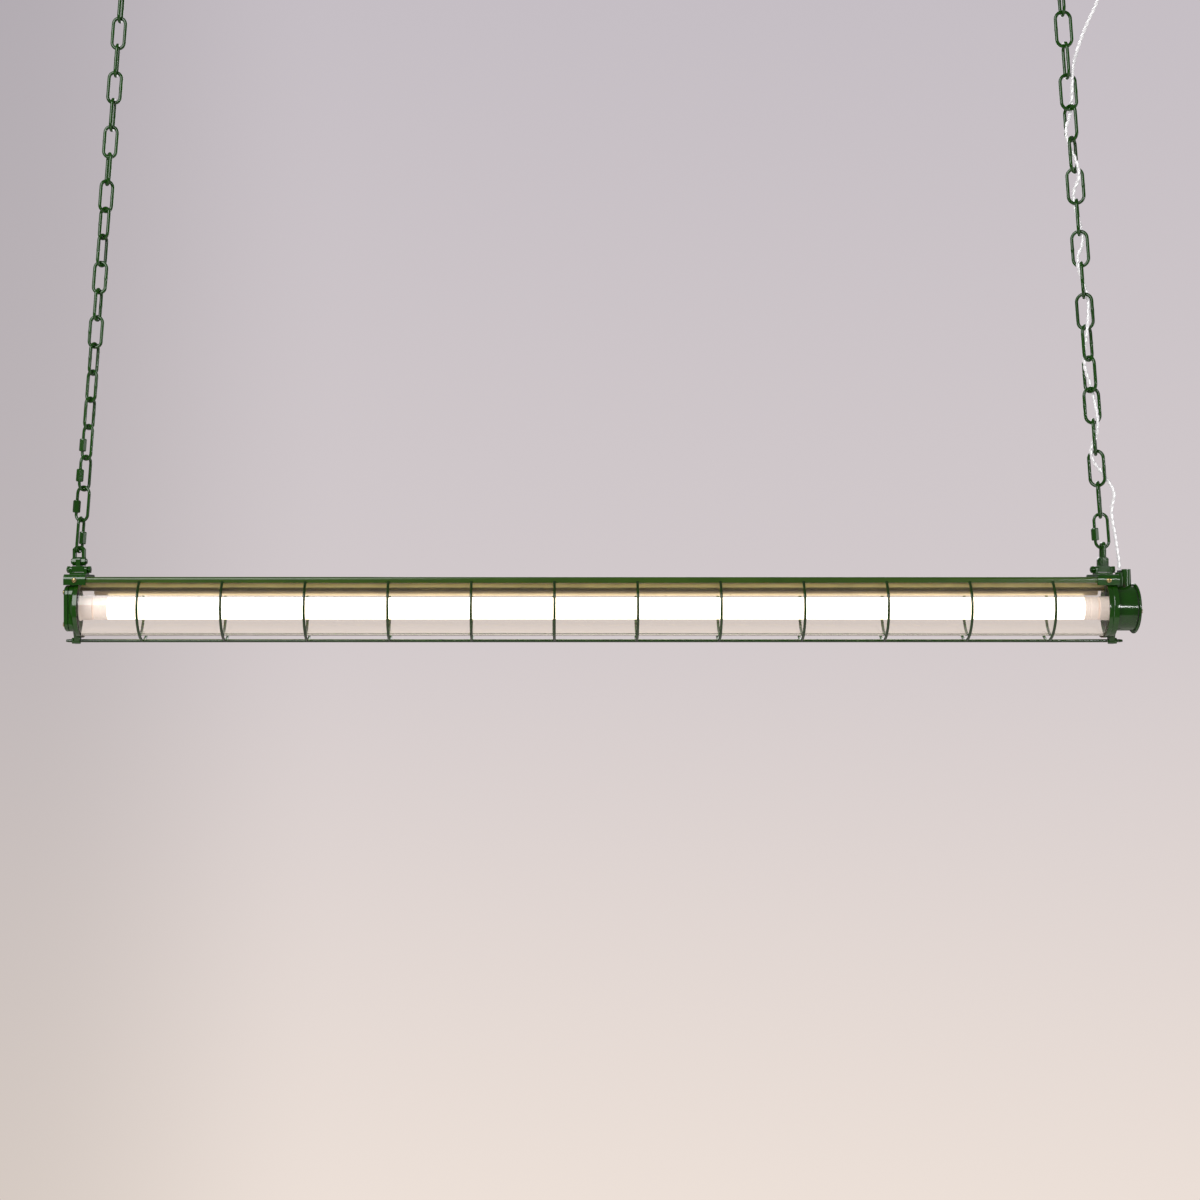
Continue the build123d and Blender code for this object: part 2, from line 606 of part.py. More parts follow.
def make_guard():
    """Twelve hoops welded to the tie rod under them, and the rod's nuts."""
    left_nut = left_lug_x - LUG_THICKNESS - NUT_THICKNESS
    right_nut = right_lug_x + LUG_THICKNESS + NUT_THICKNESS
    rod_ends = (left_nut - ROD_OVERHANG, 0, -ROD_DROP), (right_nut + ROD_OVERHANG, 0, -ROD_DROP)
    rod = flat_bar(*rod_ends, ROD_DIAMETER)
    ring = hoop()
    guard = rod + [Pos(first_hoop_x + hoop_pitch * n, 0, 0) * ring for n in range(HOOP_COUNT)]
    nuts = []
    for x in (left_nut, right_nut - NUT_THICKNESS):
        nut_ends = (x, 0, -ROD_DROP), (x + NUT_THICKNESS, 0, -ROD_DROP)
        nuts.append(flat_bar(*nut_ends, NUT_ACROSS_FLATS, 6) - flat_bar(*nut_ends, ROD_DIAMETER + FIT_GAP))
    return {"wire_guard": guard, "tie_rod_nuts": group(nuts)}


# End castings

def glass_seat(face_x, seat_x):
    """Round recess that takes the end of the glass tube."""
    return turned(((face_x, 0), (face_x, seat_radius), (seat_x, seat_radius), (seat_x, 0)))


def casting_pad(start_x, end_x):
    """Flat-topped pad inside the channel that the side screws and the stud bite into."""
    profile = Pos(0, (PAD_TOP + PAD_BOTTOM) / 2) * Rectangle(PAD_WIDTH, PAD_TOP - PAD_BOTTOM)
    face = Plane(origin=(start_x, 0, 0), x_dir=(0, 1, 0), z_dir=(1, 0, 0)) * profile
    pad = extrude(face, end_x - start_x)
    top_edges = pad.edges().filter_by(Axis.X).group_by(Axis.Z)[-1]
    return chamfer(top_edges, PAD_CORNER)


def casting_lug(inner_x):
    """Lug under the casting with the tie rod's hole, drawn in to a round end."""
    half = LUG_TOP_WIDTH / 2
    outline = make_face(Polyline(
        (-half, -LUG_ROOT_DROP), (half, -LUG_ROOT_DROP), (LUG_RADIUS, -ROD_DROP), (-LUG_RADIUS, -ROD_DROP),
        close=True))
    outline += Pos(0, -ROD_DROP) * Circle(LUG_RADIUS)
    face = Plane(origin=(inner_x, 0, 0), x_dir=(0, 1, 0), z_dir=(1, 0, 0)) * outline
    return extrude(face, LUG_THICKNESS)


def casting_holes(casting, x, lug_x, pad_end):
    """Cuts that both castings share: stud, side screws, tie rod and the lead's slot."""
    casting -= flat_bar((x, 0, STUD_END - FIT_GAP), (x, 0, PAD_TOP), STUD_DIAMETER + FIT_GAP)
    for side in (-1, 1):
        tip = side * (SIDE_SCREW_END - FIT_GAP)
        casting -= flat_bar((x, tip, SIDE_SCREW_HEIGHT), (x, side * casting_pad_side, SIDE_SCREW_HEIGHT),
                            SCREW_DIAMETER + FIT_GAP)
    rod_hole = ROD_DIAMETER + 2 * FIT_GAP
    casting -= flat_bar((lug_x, 0, -ROD_DROP), (lug_x + LUG_THICKNESS, 0, -ROD_DROP), rod_hole)
    half_slot = LEAD_SLOT / 2
    low = (min(x, pad_end), LEAD_Y - half_slot, LEAD_Z - half_slot)
    high = (max(x, pad_end), LEAD_Y + half_slot, PAD_TOP)
    return casting - block(low, high)


def square_neck(start_x, width, corner, length):
    """Rounded square bar along X."""
    start = Plane(origin=(start_x, 0, 0), x_dir=(0, 1, 0), z_dir=(1, 0, 0))
    return extrude(start * RectangleRounded(width, width, corner), length)


def screw_ring(circle, turn):
    """(y, z) of the cover screws."""
    angles = [radians(turn + 360 / COVER_SCREW_COUNT * n) for n in range(COVER_SCREW_COUNT)]
    return [(circle / 2 * cos(a), circle / 2 * sin(a)) for a in angles]


def make_left_casting():
    """Blind end: glass seat, web with the lampholder's pedestal, and a square neck."""
    body_end = left_casting_end
    rim_end = left_face_x - LEFT_RIM_LENGTH
    rim = turned(((left_face_x, 0), (left_face_x, casting_radius), (rim_end, casting_radius), (rim_end, 0)))
    draw_in = turned((
        (rim_end, 0), (rim_end, casting_radius), (body_end, LEFT_NECK_WIDTH / 2), (body_end, 0)))
    casting = rim + draw_in + square_neck(body_end, LEFT_NECK_WIDTH, LEFT_NECK_CORNER, LEFT_NECK_LENGTH)
    casting += casting_pad(body_end, left_face_x)
    casting += casting_lug(left_lug_x - LUG_THICKNESS)
    casting -= glass_seat(left_face_x, left_seat_x)
    pedestal = PEDESTAL_DIAMETER / 2
    casting += turned((
        (left_seat_x, 0), (left_seat_x, pedestal), (left_holder_back, pedestal), (left_holder_back, 0)))
    bore = LEFT_BORE_DIAMETER / 2
    casting -= turned(((body_end, 0), (body_end, bore), (left_web_end, bore), (left_web_end, 0)))
    for y in (-HOLDER_SCREW_OFFSET, HOLDER_SCREW_OFFSET):
        casting -= flat_bar((left_web_end, y, 0), (left_holder_back, y, 0), SCREW_DIAMETER + 2 * FIT_GAP)
    for y, z in screw_ring(LEFT_SCREW_CIRCLE, LEFT_SCREW_TURN):
        depth = COVER_SCREW_LENGTH - LEFT_COVER_THICKNESS - COVER_GASKET_THICKNESS + FIT_GAP
        casting -= flat_bar((body_end, y, z), (body_end + depth, y, z), SCREW_DIAMETER + FIT_GAP)
    return casting_holes(casting, -hanger_x, left_lug_x - LUG_THICKNESS, left_face_x)


def make_left_cover():
    """Square cover with a bevelled outer edge, and its gasket."""
    gasket_start = left_casting_end - COVER_GASKET_THICKNESS
    inset = 2 * LEFT_GASKET_INSET
    gasket = square_neck(gasket_start, LEFT_NECK_WIDTH - inset, LEFT_NECK_CORNER - LEFT_GASKET_INSET,
                         COVER_GASKET_THICKNESS)
    bore = LEFT_BORE_DIAMETER
    gasket -= bar((gasket_start, 0, 0), (left_casting_end, 0, 0), bore)
    outer_x = gasket_start - LEFT_COVER_THICKNESS
    cover = square_neck(outer_x, LEFT_NECK_WIDTH, LEFT_NECK_CORNER, LEFT_COVER_THICKNESS)
    cover = chamfer(cover.faces().sort_by(Axis.X)[0].edges(), LEFT_COVER_BEVEL)
    for y, z in screw_ring(LEFT_SCREW_CIRCLE, LEFT_SCREW_TURN):
        hole = SCREW_DIAMETER + 2 * FIT_GAP
        gasket -= flat_bar((gasket_start, y, z), (left_casting_end, y, z), hole)
        cover -= flat_bar((outer_x, y, z), (gasket_start, y, z), hole)
    return cover, gasket


def make_terminal_box():
    """Right casting: glass seat, web, round box body, gland boss and pillar."""
    box = BOX_DIAMETER / 2
    groove_x = (right_face_x + flange_end) / 2
    outline = (
        (right_face_x, 0), (right_face_x, casting_radius), (groove_x - FLANGE_GROOVE, casting_radius),
        (groove_x, casting_radius - FLANGE_GROOVE / 2), (groove_x + FLANGE_GROOVE, casting_radius),
        (flange_end, casting_radius), (flange_end, box), (box_end_x, box), (box_end_x, 0),
    )
    casting = turned(outline)
    casting += casting_pad(right_face_x, channel_right_end)
    casting += casting_lug(right_lug_x)
    boss = GLAND_BOSS_DIAMETER / 2
    casting += bar((gland_x, 0, 0), (gland_x, 0, GLAND_BOSS_TOP), 2 * boss)
    pillar = turned_upright(pillar_x, (
        (0, 0), (PILLAR_DIAMETER / 2, 0), (PILLAR_DIAMETER / 2, BOX_DIAMETER / 2),
        (PILLAR_TOP_DIAMETER / 2, PILLAR_TOP), (0, PILLAR_TOP)))
    nut_room = GLAND_NUT_DIAMETER + 2 * RUN_GAP
    pillar -= bar((gland_x, 0, GLAND_BOSS_TOP), (gland_x, 0, PILLAR_TOP), nut_room)
    casting += pillar
    casting -= glass_seat(right_face_x, right_seat_x)
    recess = GASKET_BORE / 2
    casting -= turned((
        (right_seat_x, 0), (right_seat_x, recess), (right_holder_back, recess), (right_holder_back, 0)))
    bore = BOX_BORE_DIAMETER / 2
    casting -= turned(((right_web_end, 0), (right_web_end, bore), (box_end_x, bore), (box_end_x, 0)))
    casting -= bar((gland_x, 0, 0), (gland_x, 0, GLAND_BOSS_TOP), GLAND_BORE_DIAMETER)
    casting -= flat_bar((right_holder_back, 0, WEB_HOLE_HEIGHT), (right_web_end, 0, WEB_HOLE_HEIGHT),
                        WEB_HOLE)
    for y in (-HOLDER_SCREW_OFFSET, HOLDER_SCREW_OFFSET):
        casting -= flat_bar((right_holder_back, y, 0), (right_web_end, y, 0), SCREW_DIAMETER + 2 * FIT_GAP)
    for y, z in screw_ring(cover_screw_circle, COVER_SCREW_TURN):
        casting -= flat_bar((box_end_x - COVER_SCREW_LENGTH, y, z), (box_end_x, y, z),
                            SCREW_DIAMETER + FIT_GAP)
    return casting_holes(casting, hanger_x, right_lug_x, right_face_x)


def make_box_cover():
    """Round cover of the terminal box, wider than the box, and its gasket."""
    gasket_end = box_end_x + COVER_GASKET_THICKNESS
    outer, bore = BOX_DIAMETER / 2 - FIT_GAP, BOX_BORE_DIAMETER / 2
    gasket = turned(((box_end_x, bore), (box_end_x, outer), (gasket_end, outer), (gasket_end, bore)))
    rim = BOX_COVER_DIAMETER / 2
    face = gasket_end + BOX_COVER_THICKNESS
    bevel = BOX_COVER_THICKNESS / 3
    cover = turned((
        (gasket_end, 0), (gasket_end, rim - bevel), (gasket_end + bevel, rim), (face - bevel, rim),
        (face, rim - bevel), (face, 0)))
    for y, z in screw_ring(cover_screw_circle, COVER_SCREW_TURN):
        hole = SCREW_DIAMETER + 2 * FIT_GAP
        gasket -= flat_bar((box_end_x, y, z), (gasket_end, y, z), hole)
        cover -= flat_bar((gasket_end, y, z), (face, y, z), hole)
    return cover, gasket


def screw(tip, seat, head=SCREW_HEAD_DIAMETER):
    """Pan-head screw from the tip of its shank to the seat under its head."""
    tip, seat = Vector(*tip), Vector(*seat)
    top = seat + (seat - tip).normalized() * SCREW_HEAD_HEIGHT
    return flat_bar(tip, seat, SCREW_DIAMETER) + flat_bar(seat, top, head, HEAD_SIDES)


def make_cover_screws():
    """Four screws in each end cover."""
    left_seat_face = left_casting_end - COVER_GASKET_THICKNESS - LEFT_COVER_THICKNESS
    right_seat_face = box_end_x + COVER_GASKET_THICKNESS + BOX_COVER_THICKNESS
    screws = [
        screw((left_seat_face + COVER_SCREW_LENGTH, y, z), (left_seat_face, y, z))
        for y, z in screw_ring(LEFT_SCREW_CIRCLE, LEFT_SCREW_TURN)
    ]
    screws += [
        screw((right_seat_face - COVER_SCREW_LENGTH, y, z), (right_seat_face, y, z))
        for y, z in screw_ring(cover_screw_circle, COVER_SCREW_TURN)
    ]
    return group(screws)


def make_gland():
    """Compression nut and rubber seal over the cable's entry."""
    spigot_bottom = GLAND_BOSS_TOP - GLAND_SPIGOT
    spigot = GLAND_BORE_DIAMETER / 2 - FIT_GAP
    seal = SEAL_DIAMETER / 2
    nut = turned_upright(gland_x, (
        (seal + FIT_GAP, spigot_bottom), (spigot, spigot_bottom), (spigot, GLAND_BOSS_TOP),
        (GLAND_NUT_DIAMETER / 2, GLAND_BOSS_TOP), (GLAND_NUT_DIAMETER / 2, GLAND_BOSS_TOP + GLAND_NUT_HEIGHT),
        (seal + FIT_GAP, GLAND_BOSS_TOP + GLAND_NUT_HEIGHT)))
    plug = turned_upright(gland_x, (
        (0, SEAL_BOTTOM), (spigot, SEAL_BOTTOM), (spigot, spigot_bottom), (seal, spigot_bottom),
        (seal, SEAL_TOP), (0, SEAL_TOP)))
    return {"gland_nut": nut, "gland_seal": plug}


# Hangers

def make_saddle(side):
    """Strap pressed over the channel, with holes for the stud and the side screws."""
    inner_half = CHANNEL_WIDTH / 2 + FIT_GAP
    outer_half = inner_half + SADDLE_THICKNESS
    outer_corner = CHANNEL_CORNER + FIT_GAP + SADDLE_THICKNESS
    height = saddle_top - SADDLE_SKIRT
    tall = 2 * height
    outer = Pos(0, saddle_top - height) * RectangleRounded(2 * outer_half, tall, outer_corner)
    inner = Pos(0, saddle_top - SADDLE_THICKNESS - height) * RectangleRounded(
        2 * inner_half, tall, CHANNEL_CORNER + FIT_GAP)
    below = Pos(0, SADDLE_SKIRT - height) * Rectangle(3 * outer_half, tall)
    section = outer - inner - below
    x = side * hanger_x
    start = Plane(origin=(x - SADDLE_LENGTH / 2, 0, 0), x_dir=(0, 1, 0), z_dir=(1, 0, 0))
    saddle = start * extrude(section, SADDLE_LENGTH)
    saddle -= flat_bar((x, 0, CHANNEL_TOP), (x, 0, saddle_top), STUD_DIAMETER + 2 * FIT_GAP)
    saddle -= flat_bar((x, -outer_half, SIDE_SCREW_HEIGHT), (x, outer_half, SIDE_SCREW_HEIGHT),
                       SCREW_DIAMETER + 2 * FIT_GAP)
    return saddle


def make_bracket(side):
    """U bracket on the saddle; the bolt runs along X through both ears."""
    x = side * hanger_x
    half_x, half_y = BRACKET_LENGTH / 2, BRACKET_WIDTH / 2
    bracket = block((x - half_x, -half_y, saddle_top), (x + half_x, half_y, BRACKET_TOP))
    inner = half_x - BRACKET_EAR
    bracket -= block((x - inner, -half_y, saddle_top + BRACKET_BASE), (x + inner, half_y, BRACKET_TOP))
    top_corners = bracket.edges().filter_by(Axis.X).group_by(Axis.Z)[-1]
    bracket = fillet(top_corners, BRACKET_EAR)
    bolt = HANGER_BOLT_DIAMETER + 2 * FIT_GAP
    bracket -= flat_bar((x - half_x, 0, HANGER_BOLT_HEIGHT), (x + half_x, 0, HANGER_BOLT_HEIGHT), bolt)
    stud_hole = STUD_DIAMETER / 2 + FIT_GAP
    head = STUD_HEAD_DIAMETER / 2 + FIT_GAP
    top = saddle_top + BRACKET_BASE
    bracket -= turned_upright(x, (
        (0, saddle_top), (stud_hole, saddle_top), (stud_hole, top - STUD_HEAD_HEIGHT), (head, top), (0, top)))
    return bracket


def make_block(side):
    """Pivot block between the ears, with the tongue that the shackle's pin goes through."""
    half = BRACKET_LENGTH / 2 - BRACKET_EAR - RUN_GAP
    thin, wide = TONGUE_THICKNESS / 2, TONGUE_WIDTH / 2
    body = block((-half, -half, BLOCK_BOTTOM), (half, half, BLOCK_TOP))
    tongue = block((-wide, -thin, BLOCK_TOP), (wide, thin, TONGUE_TOP))
    tongue = fillet(tongue.edges().filter_by(Axis.Y).group_by(Axis.Z)[-1], wide / 2)
    hole = SHACKLE_PIN_DIAMETER + 2 * FIT_GAP
    tongue -= flat_bar((0, -thin, SHACKLE_PIN_HEIGHT), (0, thin, SHACKLE_PIN_HEIGHT), hole)
    turn = 90 if side < 0 else 0
    pivot = body + Rot(0, 0, turn) * tongue
    pivot -= flat_bar((-half, 0, HANGER_BOLT_HEIGHT), (half, 0, HANGER_BOLT_HEIGHT),
                      HANGER_BOLT_DIAMETER + 2 * FIT_GAP)
    return Pos(side * hanger_x, 0, 0) * pivot


def make_shackle(side):
    """Bent shackle with an eye at the foot of each leg; left in XZ, right in YZ."""
    leg = SHACKLE_LEG_SPACING / 2
    foot = SHACKLE_PIN_HEIGHT
    top = PIVOT_HEIGHT if side < 0 else right_shackle_bar
    cut = SHACKLE_CORNER
    half = [(-leg, 0, foot), (-leg, 0, top - cut), (cut - leg, 0, top)]
    shackle = bent_wire([*half, *[(-x, 0, z) for x, _, z in reversed(half)]], SHACKLE_WIRE, (0, 1, 0))
    half_eye = SHACKLE_EYE_THICKNESS / 2
    for end in (-leg, leg):
        shackle += flat_bar((end - half_eye, 0, foot), (end + half_eye, 0, foot), SHACKLE_EYE_DIAMETER,
                            HEAD_SIDES)
    reach = leg + SHACKLE_WIRE / 2
    shackle -= flat_bar((-reach, 0, foot), (reach, 0, foot), SHACKLE_PIN_DIAMETER + 2 * FIT_GAP)
    turn = 0 if side < 0 else 90
    return Pos(side * hanger_x, 0, 0) * Rot(0, 0, turn) * shackle


def make_hanger_fasteners():
    """Pins, bolts, nuts and studs of both hangers."""
    reach = SHACKLE_LEG_SPACING / 2 + SHACKLE_WIRE / 2
    grip = BRACKET_LENGTH / 2
    pins, bolts, nuts, studs = [], [], [], []
    for side in (-1, 1):
        x = side * hanger_x
        pin = flat_bar((-reach, 0, 0), (reach, 0, 0), SHACKLE_PIN_DIAMETER)
        for end in (-reach, reach):
            cap = end + (SHACKLE_PIN_HEAD_HEIGHT if end > 0 else -SHACKLE_PIN_HEAD_HEIGHT)
            pin += flat_bar((end, 0, 0), (cap, 0, 0), SHACKLE_PIN_HEAD, HEAD_SIDES)
        pins.append(Pos(x, 0, SHACKLE_PIN_HEIGHT) * Rot(0, 0, 0 if side < 0 else 90) * pin)
        z = HANGER_BOLT_HEIGHT
        shank_end = x - grip - HEX_THICKNESS - BOLT_OVERHANG
        bolt = flat_bar((shank_end, 0, z), (x + grip, 0, z), HANGER_BOLT_DIAMETER)
        bolts.append(bolt + flat_bar((x + grip, 0, z), (x + grip + HEX_THICKNESS, 0, z), HEX_ACROSS_FLATS, 6))
        nut_start, nut_end = (x - grip - HEX_THICKNESS, 0, z), (x - grip, 0, z)
        nut = flat_bar(nut_start, nut_end, HEX_ACROSS_FLATS, 6)
        nuts.append(nut - flat_bar(nut_start, nut_end, HANGER_BOLT_DIAMETER + FIT_GAP))
        radius, head = STUD_DIAMETER / 2, STUD_HEAD_DIAMETER / 2
        top = saddle_top + BRACKET_BASE
        studs.append(turned_upright(x, (
            (0, STUD_END), (radius, STUD_END), (radius, top - STUD_HEAD_HEIGHT), (head, top), (0, top))))
    return {
        "shackle_pins": group(pins), "hanger_bolts": group(bolts),
        "hanger_nuts": group(nuts), "hanger_studs": group(studs),
    }


def make_side_screws():
    """Screws through the saddle's skirts and the channel into the castings' pads."""
    seat = CHANNEL_WIDTH / 2 + FIT_GAP + SADDLE_THICKNESS
    screws = []
    for x in (-hanger_x, hanger_x):
        for side in (-1, 1):
            tip = (x, side * SIDE_SCREW_END, SIDE_SCREW_HEIGHT)
            screws.append(screw(tip, (x, side * seat, SIDE_SCREW_HEIGHT)))
    return group(screws)


# Lamp and lampholders

def make_holder(back_x, outward):
    """Lampholder: round body with a rotor pocket and an entry slot that opens downwards."""
    front_x = back_x - outward * HOLDER_LENGTH
    lip_x = back_x - outward * HOLDER_LIP_THICKNESS
    body, lip = HOLDER_DIAMETER / 2, HOLDER_LIP_DIAMETER / 2
    holder = turned((
        (back_x, 0), (back_x, lip), (lip_x, lip), (lip_x, body), (front_x, body), (front_x, 0)))
    floor_x = front_x + outward * (ROTOR_DEPTH + RUN_GAP)
    pocket = ROTOR_DIAMETER / 2 + RUN_GAP
    holder -= turned(((front_x, 0), (front_x, pocket), (floor_x, pocket), (floor_x, 0)))
    slot_x = front_x + outward * (PIN_LENGTH + PIN_GAP)
    low_x, high_x = min(front_x, slot_x), max(front_x, slot_x)
    holder -= block((low_x, -ROTOR_SLOT / 2, -body), (high_x, ROTOR_SLOT / 2, 0))
    for y in (-HOLDER_SCREW_OFFSET, HOLDER_SCREW_OFFSET):
        depth = LEFT_HOLDER_SCREW if outward < 0 else RIGHT_HOLDER_SCREW
        web = left_web_end if outward < 0 else right_web_end
        hole_x = web - outward * (depth + FIT_GAP)
        holder -= flat_bar((hole_x, y, 0), (back_x, y, 0), SCREW_DIAMETER + FIT_GAP)
    return holder


def make_rotor(front_x, outward):
    """Slotted rotor that turns the lamp's pins home."""
    back_x = front_x + outward * ROTOR_DEPTH
    radius = ROTOR_DIAMETER / 2
    rotor = turned(((front_x, 0), (front_x, radius), (back_x, radius), (back_x, 0)))
    slot_x = front_x + outward * (PIN_LENGTH + PIN_GAP / 2)
    low_x, high_x = min(front_x, slot_x), max(front_x, slot_x)
    return rotor - block((low_x, -radius, -ROTOR_SLOT / 2), (high_x, radius, ROTOR_SLOT / 2))


def make_lamp():
    """Straight lamp: glass tube, light board, end caps, pins, and the rotors that hold them."""
    inner, outer = LAMP_DIAMETER / 2 - LAMP_WALL, LAMP_DIAMETER / 2
    left_floor = left_lamp_end + LAMP_CAP_FLOOR
    right_floor = right_lamp_end - LAMP_CAP_FLOOR
    tube = turned(((left_floor, inner), (left_floor, outer), (right_floor, outer), (right_floor, inner)))
    half_board = BOARD_WIDTH / 2
    chord = sqrt((inner - FIT_GAP) ** 2 - half_board ** 2)
    board = block((left_floor, -half_board, chord - BOARD_THICKNESS), (right_floor, half_board, chord))
    caps, pins, rotors = [], [], []
    cap = LAMP_CAP_DIAMETER / 2
    cap_bore = outer + FIT_GAP
    for end, floor, outward in ((left_lamp_end, left_floor, -1), (right_lamp_end, right_floor, 1)):
        mouth = end - outward * LAMP_CAP_LENGTH
        caps.append(turned((
            (end, 0), (end, cap), (mouth, cap), (mouth, cap_bore), (floor, cap_bore), (floor, 0))))
        for y in (-PIN_SPACING / 2, PIN_SPACING / 2):
            pins.append(flat_bar((end, y, 0), (end + outward * PIN_LENGTH, y, 0), PIN_DIAMETER))
        rotors.append(make_rotor(end + outward * PIN_GAP, outward))
    return {
        "lamp_tube": tube, "lamp_board": board, "lamp_caps": group(caps), "lamp_pins": group(pins),
        "holder_rotors": group(rotors),
    }


def make_wiring():
    """Screws, terminal block and leads behind the lampholders and in the channel."""
    screws = []
    left_tip = left_web_end + LEFT_HOLDER_SCREW
    right_tip = right_web_end - RIGHT_HOLDER_SCREW
    for web, tip in ((left_web_end, left_tip), (right_web_end, right_tip)):
        for y in (-HOLDER_SCREW_OFFSET, HOLDER_SCREW_OFFSET):
            screws.append(screw((tip, y, 0), (web, y, 0), HOLDER_SCREW_HEAD))
    half = TERMINAL_WIDTH / 2
    front = right_web_end + TERMINAL_DEPTH
    bottom = TERMINAL_TOP - TERMINAL_HEIGHT
    terminal = block((right_web_end, -half, bottom), (front, half, TERMINAL_TOP))
    poles = [-TERMINAL_PITCH, 0, TERMINAL_PITCH]
    middle = (bottom + TERMINAL_TOP) / 2
    terminal_screws = []
    sunk = front - TERMINAL_SCREW_DEPTH
    for y in poles:
        terminal -= flat_bar((sunk, y, middle), (front, y, middle), SCREW_DIAMETER + 2 * FIT_GAP)
        head = front - TERMINAL_SCREW_INSET
        terminal_screws.append(flat_bar((sunk, y, middle), (head, y, middle), SCREW_DIAMETER))
    groove_x = front - TERMINAL_GROOVE_DEPTH
    for y in (-TERMINAL_PITCH / 2, TERMINAL_PITCH / 2):
        low, high = y - TERMINAL_GROOVE / 2, y + TERMINAL_GROOVE / 2
        terminal -= block((groove_x, low, bottom), (front, high, TERMINAL_TOP))
    lead_x = right_web_end + TERMINAL_DEPTH / 2
    height = WEB_HOLE_HEIGHT
    through_web = ((lead_x, 0, TERMINAL_TOP), (lead_x, 0, height), (right_holder_back, 0, height))
    leads = [bent_wire(through_web, LEAD_DIAMETER, (0, 1, 0))]
    for side in (-1, 1):
        y = side * (LEAD_DIAMETER / 2 + FIT_GAP)
        pole = side * TERMINAL_PITCH
        from_gland = (
            (gland_x, y, SEAL_BOTTOM), (gland_x, y, LEAD_STRAIGHT_END),
            (lead_x, pole, LEAD_POLE_HEIGHT), (lead_x, pole, TERMINAL_TOP))
        leads.append(bent_wire(from_gland, LEAD_DIAMETER, (1, 0, 0)))
    channel_lead = flat_bar((-hanger_x, LEAD_Y, LEAD_Z), (hanger_x, LEAD_Y, LEAD_Z), LEAD_DIAMETER)
    return {
        "holder_screws": group(screws), "terminal_block": terminal,
        "terminal_screws": group(terminal_screws), "box_leads": group(leads), "channel_lead": channel_lead,
    }


def make_fixture():
    """Every piece that is drawn about the tube axis, with its node's name."""
    left_cover, left_gasket = make_left_cover()
    box_cover, box_gasket = make_box_cover()
    parts = {
        "spine_channel": make_channel(),
        "end_casting_left": make_left_casting(),
        "end_cover_left": left_cover,
        "terminal_box": make_terminal_box(),
        "terminal_box_cover": box_cover,
        "cover_gaskets": group([left_gasket, box_gasket]),
        "cover_screws": make_cover_screws(),
        "channel_screws": make_side_screws(),
        "lampholder_left": make_holder(left_holder_back, -1),
        "lampholder_right": make_holder(right_holder_back, 1),
    }
    for side, name in ((-1, "left"), (1, "right")):
        parts[f"saddle_{name}"] = make_saddle(side)
        parts[f"hanger_bracket_{name}"] = make_bracket(side)
        parts[f"hanger_block_{name}"] = make_block(side)
        parts[f"shackle_{name}"] = make_shackle(side)
    for make in (make_glass, make_guard, make_gland, make_hanger_fasteners, make_lamp, make_wiring):
        parts.update(make())
    return {node: drop(shape) for node, shape in parts.items()}


if __name__ == "__main__":
    os.makedirs("parts", exist_ok=True)
    nodes = {
        "hook_left": make_hook(-1, left_hook_drop),
        "hook_right": make_hook(1, RIGHT_HOOK_DROP),
        **make_rose(),
        **make_chains(),
        **make_cable(),
        **make_fixture(),
    }
    for node, shape in nodes.items():
        export_step(shape, f"parts/{node}.step")
    print(len(nodes), "nodes, tube axis at", round(axis_z, 3), "pivot at", round(pivot_z, 3))
    print("left hook drop", round(left_hook_drop, 3))
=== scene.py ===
"""Looks of the linear cage pendant light, in metres, in the frame of the CAD model.

Origin on the ceiling between the two screw hooks, X along the light, Z up. New pieces are numpy
surfaces on the same centrelines as the CAD solids that they stand for.
"""
import json
from math import atan2, cos, pi, radians, sin, sqrt

import bmesh
import bpy
import numpy as np
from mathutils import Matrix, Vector


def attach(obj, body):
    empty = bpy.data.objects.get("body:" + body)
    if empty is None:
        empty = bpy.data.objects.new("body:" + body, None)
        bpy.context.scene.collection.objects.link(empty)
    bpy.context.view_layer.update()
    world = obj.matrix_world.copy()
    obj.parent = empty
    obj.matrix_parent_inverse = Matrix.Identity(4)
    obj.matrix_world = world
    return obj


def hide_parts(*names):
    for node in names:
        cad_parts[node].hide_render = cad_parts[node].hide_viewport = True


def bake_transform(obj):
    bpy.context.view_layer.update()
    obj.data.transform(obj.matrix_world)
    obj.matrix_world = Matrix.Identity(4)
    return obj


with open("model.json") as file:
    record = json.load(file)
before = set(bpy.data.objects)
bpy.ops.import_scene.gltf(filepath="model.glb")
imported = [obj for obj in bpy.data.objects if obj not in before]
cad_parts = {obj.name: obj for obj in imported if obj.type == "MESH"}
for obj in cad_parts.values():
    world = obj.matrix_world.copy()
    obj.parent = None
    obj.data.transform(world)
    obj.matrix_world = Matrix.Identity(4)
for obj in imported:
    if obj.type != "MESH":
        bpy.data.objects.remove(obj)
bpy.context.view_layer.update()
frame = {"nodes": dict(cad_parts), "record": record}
nodes = frame["nodes"]
body_of_node = {n: body for body, group in frame["record"]["behaviour"]["bodies"].items() for n in group}
slot_of_node = {row["node"]: row["material_slot"] for row in frame["record"]["subparts"]}
scene = bpy.context.scene
MM = 0.001

